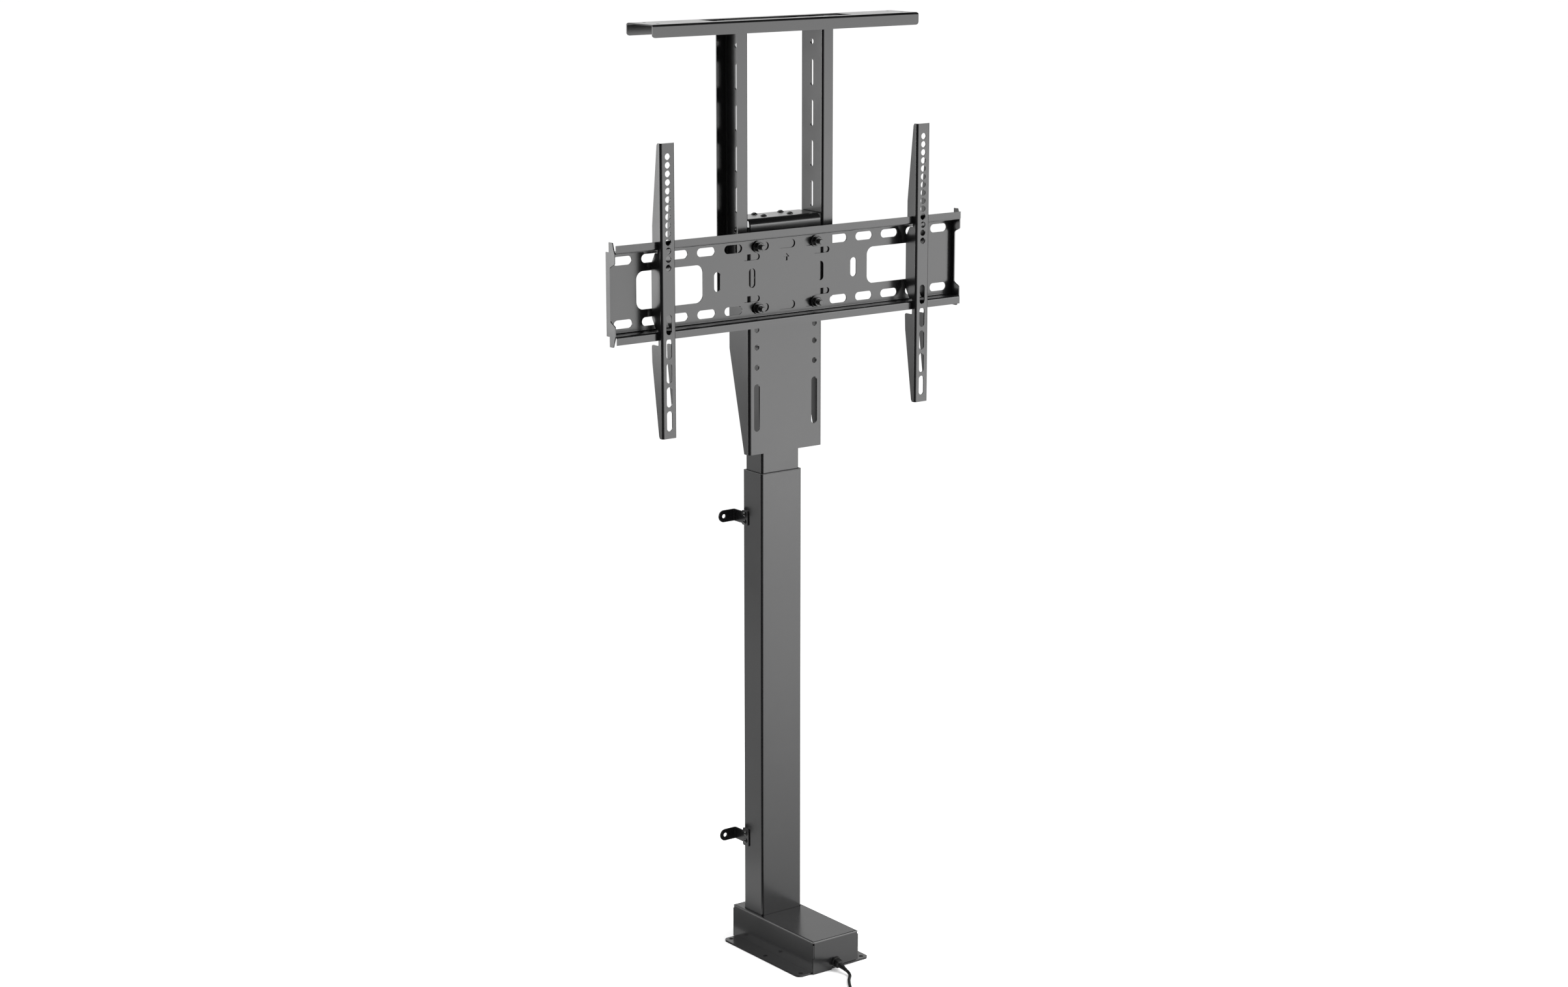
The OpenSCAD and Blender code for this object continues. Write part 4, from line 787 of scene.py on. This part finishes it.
# %% Nuts of the side bolts
side_nut_across = 9.87 * MM
side_nut_height = 5 * MM
side_nut_reach = 5.7 * MM
nuts_low, nuts_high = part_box("side_nuts")
side_nut = hex_nut(side_nut_across, side_nut_height, side_bolt)
inner_nuts = []
for x, y, z in corners("side_nuts", 0.0, (0, 2)):
    side = float(np.sign(x))
    inwards = -np.sign(z - (nuts_low.z + nuts_high.z) / 2)
    inner_nuts.append(placed(side_nut, (x, y, z + inwards * side_nut_reach), (-side, 0, 0), closed=True))
fasten("side_nuts_turned", "side_nuts", inner_nuts, "carriage", "bright_steel")
print("faces of the side nuts:", made["side_nuts_turned"])

# %% [markdown]
# Two screws drive the column: a solid one in the fixed stage and a hollow one that it
# turns in the middle stage. Both have four starts and climb 20 mm a turn. Turning to the
# left as seen from above lifts the stages, so their threads are left handed. The solid one
# stands in its bearing on a plain journal, which is thinner than the thread.

# %% Drive screw
column_y = (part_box("drive_screw")[0].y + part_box("drive_screw")[1].y) / 2
lead_pitch = 5 * MM
lead_depth = 1 * MM
lead_starts = 4
left_hand = -1
journal = 6 * MM
journal_edge = 0.5 * MM
low, high = (corner.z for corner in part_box("drive_screw"))
screw_radius = (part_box("drive_screw")[1].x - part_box("drive_screw")[0].x) / 2
journal_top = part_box("gear_housing")[1].z + 0.5 * MM
foot = [(0, low), (journal - journal_edge, low), (journal, low + journal_edge), (journal, journal_top)]
solid = np.concatenate([
    turned(foot),
    thread(screw_radius, lead_depth, lead_pitch, journal_top, high - 1 * MM, lead_starts, left_hand),
    turned([(screw_radius - 1.2 * lead_depth, high), (0, high)]),
])
grids = [placed(solid, (0, column_y, 0), (0, 0, 1))]
fasten("drive_screw_turned", "drive_screw", grids, "drive_shaft", "bright_steel")
print("faces of the drive screw:", made["drive_screw_turned"])

# %% [markdown]
# The hollow screw has a bore for the solid one, and a collar that its bearing holds. It is a
# closed ring on the lathe: up the bore, down again over thread, collar and foot.

# %% Hollow screw
low, high = (corner.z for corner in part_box("hollow_screw"))
bore = 7.6 * MM
hollow_radius = 10 * MM
collar = (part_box("hollow_screw")[1].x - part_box("hollow_screw")[0].x) / 2
collar_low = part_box("middle_foot_block")[1].z + 0.05 * MM
collar_high = collar_low + 3 * MM
thread_low = collar_high + 1 * MM
thread_high = high - 0.5 * MM
foot = [(bore, high), (bore, low), (hollow_radius, low), (hollow_radius, collar_low), (collar, collar_low)]
pipe = np.concatenate([
    turned(foot),
    turned([(collar, collar_high), (hollow_radius, collar_high)]),
    thread(hollow_radius, lead_depth, lead_pitch, thread_low, thread_high, lead_starts, left_hand),
    turned([(hollow_radius - lead_depth, high)]),
])
grids = [placed(pipe, (0, column_y, 0), (0, 0, 1), closed=True)]
fasten("hollow_screw_turned", "hollow_screw", grids, "hollow_shaft", "bright_steel")
print("faces of the hollow screw:", made["hollow_screw_turned"])

# %% [markdown]
# The worm sits on the motor's shaft and turns the wheel on the drive screw. It has one
# start, so that thirty turns of the motor make one of the wheel.

# %% Worm
worm_low, worm_high = (np.array(corner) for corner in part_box("worm"))
worm_radius = (worm_high[0] - worm_low[0]) / 2
worm_middle = (worm_low + worm_high) / 2
worm_half = (worm_high[1] - worm_low[1]) / 2
worm_bore = 3.05 * MM
worm_depth = 1.5 * MM
worm_pitch = 4 * MM
worm_edge = 0.3 * MM
spiral = np.concatenate([
    turned([(worm_bore, worm_half), (worm_bore, -worm_half), (worm_radius - worm_depth, -worm_half)]),
    thread(worm_radius, worm_depth, worm_pitch, worm_edge - worm_half, worm_half - worm_edge),
    turned([(worm_radius - worm_depth, worm_half)]),
])
grids = [placed(spiral, worm_middle, (0, 1, 0), closed=True)]
fasten("worm_turned", "worm", grids, "worm_shaft", "bright_steel")
print("faces of the worm:", made["worm_turned"])

# %% [markdown]
# Moulded pieces are lofts. The section is a curve between a circle and a square, set by a
# power: 2 gives a circle, and a higher one a square with rounded corners. A list of stations
# gives its place, size and power on the way.

# %% Loft
def in_metres(stations):
    """Stations given in millimetres, with their powers as they are."""
    return [(distance * MM, wide * MM, tall * MM, power) for distance, wide, tall, power in stations]


def loft(stations, centre, ahead, aside):
    """At each station a ring: |x|^p + |y|^p = size^p, with x sideways and y square to both
    directions. A station is (distance, half width, half height, power)."""
    distance, wide, tall, power = (np.array(column)[:, None] for column in zip(*stations))
    c, s = np.cos(around)[None, :], np.sin(around)[None, :]
    x = wide * np.sign(c) * np.abs(c) ** (2 / power)
    y = tall * np.sign(s) * np.abs(s) ** (2 / power)
    ahead = np.broadcast_to(ahead, (len(stations), 3))[:, None]
    upwards = np.cross(aside, ahead)
    return centre + distance[..., None] * ahead + x[..., None] * np.array(aside) + y[..., None] * upwards


print("points round a loft:", len(around))

# %% [markdown]
# The strain relief is moulded round the cord: a flange on each side of the sheet, a
# square block, and a tail with ridges that gets softer towards its end. Up to the sheet it
# points straight in, and from there on it follows the cord's slant.

# %% Strain relief
ridge_pitch = 2.6 * MM
ridge_depth = 0.6 * MM
block_end = 12 * MM
ridge_end = 20 * MM
tail_wide = 4.4 * MM
tail_loss = 1.1 * MM
ridges = np.arange(block_end, ridge_end, 0.3 * MM)
taper = tail_wide - (ridges - block_end) / (ridge_end - block_end) * tail_loss
grooves = ridge_depth * (np.cos(2 * pi * (ridges - block_end) / ridge_pitch) < -0.1)
stations = in_metres([
    (-4.5, 0, 0, 2), (-4.5, 7.6, 7.6, 2), (-4.1, 8, 8, 2), (-1.9, 8, 8, 2), (-1.5, 7.6, 7.6, 2),
    (-1.5, 6, 6, 2), (0, 6, 6, 2), (0, 6.6, 6.6, 4), (0.4, 7, 7, 4), (1.6, 7, 7, 4), (2, 6.6, 6.6, 4),
    (2.1, 5.4, 5.4, 4), (3, 5.3, 5.3, 5), (4, 5.9, 5.9, 5), (10.6, 5.9, 5.9, 5), (11.6, 5.2, 5.2, 5),
    (11.8, 4.6, 4.6, 4),
])
stations += [(d, wide - groove, wide - groove, 2.6) for d, wide, groove in zip(ridges, taper, grooves)]
stations += [(ridge_end + 0.5 * MM, 3.1 * MM, 3.1 * MM, 2), (boot_length - 0.3 * MM, 2.9 * MM, 2.9 * MM, 2)]
stations += [(boot_length, 2.7 * MM, 2.7 * MM, 2), (boot_length, 0, 0, 2)]
into_wall = np.array([0.0, -1.0, 0.0])
directions = np.array([into_wall if d <= 0 else boot_axis for d, *_ in stations])
boot = loft(stations, outlet, directions, (1.0, 0.0, 0.0))
boot_mesh = mesh_from_grids("strain_relief_moulded", [(boot, False, True)])
add_piece("strain_relief_moulded", boot_mesh, "cord_rubber", "base", ("strain_relief",), 40)
print("strain relief faces:", made["strain_relief_moulded"])

# %% [markdown]
# The plug is a flat one with two round pins. It starts round at the neck, widens to a soft
# box at the grip, and has shallow ribs there for the fingers.

# %% Plug body
plug_side = np.cross([0, 0, 1.0], forward)
grip_start = 19 * MM
grip_end = 31 * MM
grip_wide = 13 * MM
grip_tall = 8 * MM
rib_pitch = 3 * MM
rib_depth = 0.35 * MM
grip = np.arange(grip_start, grip_end, 0.5 * MM)
ribs = rib_depth * (0.5 - 0.5 * np.cos(2 * pi * (grip - grip_start) / rib_pitch))
stations = in_metres([
    (0, 0, 0, 2), (0, 3.1, 3.1, 2), (0.5, 3.5, 3.5, 2), (6, 4.2, 4.2, 2), (11, 5.6, 5.4, 2.1),
    (13.5, 8, 6.6, 2.4), (15.5, 11, 7.4, 3), (17.5, 12.6, 7.9, 3.6),
])
stations += [(d, grip_wide - rib, grip_tall - rib, 4.0) for d, rib in zip(grip, ribs)]
stations += in_metres([(34.6, 12.9, 7.9, 4), (35.5, 12.5, 7.5, 4), (36, 11.8, 6.8, 4), (36, 0, 0, 4)])
plug_grids = [(loft(stations, plug_at, forward, plug_side), False, True)]
print("stations along the plug:", len(stations))

# %% [markdown]
# The pins are brass rods with rounded ends. Plastic sleeves cover their inner halves, so
# that no finger touches metal while the plug is half drawn. Both are turned on the lathe
# and laid along the plug's own axis, and the sleeves belong to the plug's mesh.

# %% Plug pins
pin_spacing = 19 * MM
sleeve = turned([(0, 35 * MM), (2.2 * MM, 35 * MM), (2.2 * MM, 44.8 * MM), (2 * MM, 45 * MM), (0, 45 * MM)])
pin = turned([
    (0, 34 * MM), (1.9 * MM, 34 * MM), (1.9 * MM, 53 * MM), (1.7 * MM, 54 * MM),
    (1.2 * MM, 54.7 * MM), (0.5 * MM, 55 * MM), (0, 55 * MM),
])
pin_grids = []
for side in (-1, 1):
    at = plug_at + side * pin_spacing / 2 * plug_side
    for grid, target in ((sleeve, plug_grids), (pin, pin_grids)):
        section = grid[..., :1] * plug_side + grid[..., 1:2] * np.array([0, 0, 1.0])
        target.append((at + grid[..., 2:] * forward + section, False, True))
plug_mesh = mesh_from_grids("plug_moulded", plug_grids)
plug = add_piece("plug_moulded", plug_mesh, "plug_plastic", "base", ("plug_body",), 40)
pin_mesh = mesh_from_grids("plug_pins_turned", pin_grids)
pin_piece = add_piece("plug_pins_turned", pin_mesh, "pin_brass", "base", ("plug_pins",), 40)
print("faces of the plug:", made["plug_moulded"], "and of its pins:", made["plug_pins_turned"])

# %% [markdown]
# A hook and loop strap keeps the coil together. It is a flat section carried round a soft
# rectangle that just clears the bundle, so that it looks pulled tight. A plain band through
# the coil's middle would cut its turns.

# %% Coil tie
tie_thickness = 0.9 * MM
tie_width = 8 * MM
inside = coil_middle - coil_reach - cord_radius - 0.8 * MM
outside = coil_middle + coil_reach + cord_radius + 0.6 * MM
tie_top = coil_centre[2] + coil_step + cord_radius + 0.2 * MM
outward = np.array([cos(first_angle + pi), sin(first_angle + pi), 0.0])
across = np.cross([0, 0, 1.0], outward)
loop_centre = np.array([coil_centre[0], coil_centre[1], 0]) + outward * (inside + outside) / 2
loop_centre[2] = (tie_top + tie_thickness) / 2


def tie_loop():
    """A soft rectangle |u|^6 + |w|^6 = 1 round the bundle, thick by its normal and wide across it."""
    a = np.linspace(0, 2 * pi, 96, endpoint=False)
    c, s = np.cos(a), np.sin(a)
    u = ((outside - inside) / 2 + tie_thickness / 2) * np.sign(c) * np.abs(c) ** (1 / 3)
    w = (tie_top / 2) * np.sign(s) * np.abs(s) ** (1 / 3)
    middle = loop_centre + u[:, None] * outward + w[:, None] * np.array([0, 0, 1.0])
    run = np.roll(middle, -1, 0) - np.roll(middle, 1, 0)
    run /= np.linalg.norm(run, axis=1, keepdims=True)
    normal = np.cross(run, across)
    b = np.linspace(0, 2 * pi, 16, endpoint=False)
    wide = tie_width / 2 * np.sign(np.cos(b)) * np.abs(np.cos(b)) ** 0.35
    thick = tie_thickness / 2 * np.sign(np.sin(b)) * np.abs(np.sin(b)) ** 0.6
    return middle[:, None] + wide[None, :, None] * across + thick[None, :, None] * normal[:, None]


tie_mesh = mesh_from_grids("coil_strap", [(tie_loop(), True, True)])
tie = add_piece("coil_strap", tie_mesh, "tie_plastic", "base", ("coil_tie",), 60)
print("faces of the strap:", made["coil_strap"])

# %% [markdown]
# What stays hidden in the base and the tubes keeps its own mesh, with the finish that its
# slot in the record names.

# %% Finishes of the frame's own meshes
slot_of_node = {part["node"]: part["material_slot"] for part in frame["record"]["subparts"]}
for node, piece in frame["nodes"].items():
    piece.data.materials.clear()
    piece.data.materials.append(finishes[slot_of_node[node]])
print("slots:", sorted(set(slot_of_node.values())))

# %% [markdown]
# The plug, pins and strap are made, and they belong to the cord.

print("declared:", cord.name, "with", plug.name, pin_piece.name, tie.name)

# %% [markdown]
# The studio is a wide pale floor under a white sky. Black paint shows almost nothing of
# itself, only what it mirrors, so the picture is made with the things around it. Soft
# boxes stand where the fronts and the left sides mirror them. Dark cards stand where the
# bends do, on the camera's side and overhead, and turn the bends into dark lines. The
# cards are seen in mirror images alone and cast no shadow.

# %% Floor
floor_reach = 60.0
floor_height = -0.1 * MM


def studio_sheet(name, points, grey, specular, roughness=0.5):
    """An open sheet in one dull grey, from a grid of points."""
    mesh = bpy.data.meshes.new(name)
    mesh.from_pydata(points.reshape(-1, 3), [], grid_faces(*points.shape[:2], False, False))
    sheet = bpy.data.objects.new(name, mesh)
    bpy.context.scene.collection.objects.link(sheet)
    material = bpy.data.materials.new(name)
    material.use_nodes = True
    shader = material.node_tree.nodes["Principled BSDF"]
    shader.inputs["Base Color"].default_value = (grey, grey, grey, 1)
    shader.inputs["Roughness"].default_value = roughness
    shader.inputs["Specular IOR Level"].default_value = specular
    mesh.materials.append(material)
    return sheet


def make_floor():
    """A flat square grid just under the feet."""
    line = np.linspace(-floor_reach, floor_reach, 9)
    x, y = np.meshgrid(line, line, indexing="ij")
    points = np.stack([x, y, np.full_like(x, floor_height)], -1)
    studio_sheet("floor", points, 0.97, 0.1, 0.9)


make_floor()
print("floor from", -floor_reach, "to", floor_reach, "m")

# %% [markdown]
# Two of the cards are parts of a dome, and the others lie on the floor. An upright bend
#  mirrors what lies a little below its own height, so the column's upper half mirrors the
#  dome and its lower half the floor in front of it. The small grey card beside the base's
#  left wall is painted shadow: it stands for the base's shadow on the floor there, which
#  that wall mirrors.

# %% Dark cards
card_height = 0.2 * MM


def dome_patch(turn_from, turn_to, rise_from, rise_to, radius):
    """Part of a dome round the lift: turned from -Y towards -X, and raised from the floor."""
    turns = np.radians(np.linspace(turn_from, turn_to, 33))
    rises = np.radians(np.linspace(rise_from, rise_to, 17))
    turn, rise = np.meshgrid(turns, rises, indexing="ij")
    return radius * np.stack([-np.sin(turn) * np.cos(rise), -np.cos(turn) * np.cos(rise), np.sin(rise)], -1)


def floor_patch(x_from, x_to, y_from, y_to):
    """A flat rectangle just above the floor."""
    x, y = np.meshgrid(np.linspace(x_from, x_to, 2), np.linspace(y_from, y_to, 2), indexing="ij")
    return np.stack([x, y, np.full_like(x, card_height)], -1)


def floor_sector(turn_from, turn_to, near, far):
    """Part of a flat ring just above the floor, between two turns from -Y towards -X and two radii."""
    turns = np.radians(np.linspace(turn_from, turn_to, 33))
    turn, radius = np.meshgrid(turns, np.linspace(near, far, 2), indexing="ij")
    return np.stack([-radius * np.sin(turn), -radius * np.cos(turn), np.full_like(turn, card_height)], -1)


def make_card(name, points, grey):
    """A dull card in one grey, seen only in mirror images."""
    card = studio_sheet(name, points, grey, 0.0)
    for ray in ["camera", "diffuse", "transmission", "shadow"]:
        setattr(card, "visible_" + ray, False)


make_card("side_card", dome_patch(6, 118, 0, 75, 3.0), 0.02)
make_card("front_floor_card", floor_sector(12, 104, 0.2, 3.0), 0.02)
make_card("upper_card", dome_patch(-135, -28, 14, 85, 4.5), 0.01)
# Painted shadow: a grey card for the base's shadow on the floor, seen mirrored in the base's left wall.
make_card("floor_shadow_card", floor_patch(-0.14, -0.069, -0.2, 0.24), 0.3)
make_card("rear_floor_card", floor_patch(-1.9, -0.25, 0.35, 2.5), 0.65)

# %% [markdown]
# Each soft box stands where one set of faces mirrors it, as a photographer sets them up one
# by one: two for the fronts, one above the floor for the fronts near the floor, and two
# behind for the left sides. A box near the edge of what a face mirrors gives it a gradient.

# %% Lights
def soft_box(name, place, target, size, radiance):
    """An area light that looks at a target; its power is radiance times pi times its area."""
    data = bpy.data.lights.new(name, "AREA")
    data.shape = "RECTANGLE"
    data.size, data.size_y = size
    data.energy = radiance * pi * size[0] * size[1]
    lamp = bpy.data.objects.new(name, data)
    lamp.location = place
    away = np.array(target) - np.array(place)
    flat = float(np.hypot(away[0], away[1]))
    lamp.rotation_euler = (np.arctan2(flat, -away[2]), 0.0, np.arctan2(-away[0], away[1]))
    lamp.visible_camera = False
    bpy.context.scene.collection.objects.link(lamp)


soft_box("front_light", (2.0, -2.4, 0.75), (0, 0, 0.75), (2.1, 1.5), 3.4)
soft_box("front_upper", (2.0, -2.4, 1.32), (0, 0, 1.32), (2.1, 0.86), 3.2)
soft_box("floor_light", (1.3, -1.35, 1.3), (1.3, -1.35, 0), (2.0, 2.2), 4.7)
soft_box("left_light", (-1.75, 1.5, 1.27), (0, 0, 1.1), (0.9, 1.37), 5.2)
soft_box("side_strip", (-2.0, 1.05, 1.2), (0, 0, 0.9), (0.22, 2.4), 5.0)


def make_world(brightness):
    """The sky's light, the same from all round."""
    world = bpy.data.worlds.new("studio")
    world.use_nodes = True
    sky = world.node_tree.nodes["Background"]
    sky.inputs["Color"].default_value = (1, 1, 1, 1)
    sky.inputs["Strength"].default_value = brightness
    bpy.context.scene.world = world


sky_strength = 1.05
make_world(sky_strength)
bpy.context.scene.view_settings.view_transform = "Standard"
print("sky strength:", sky_strength)
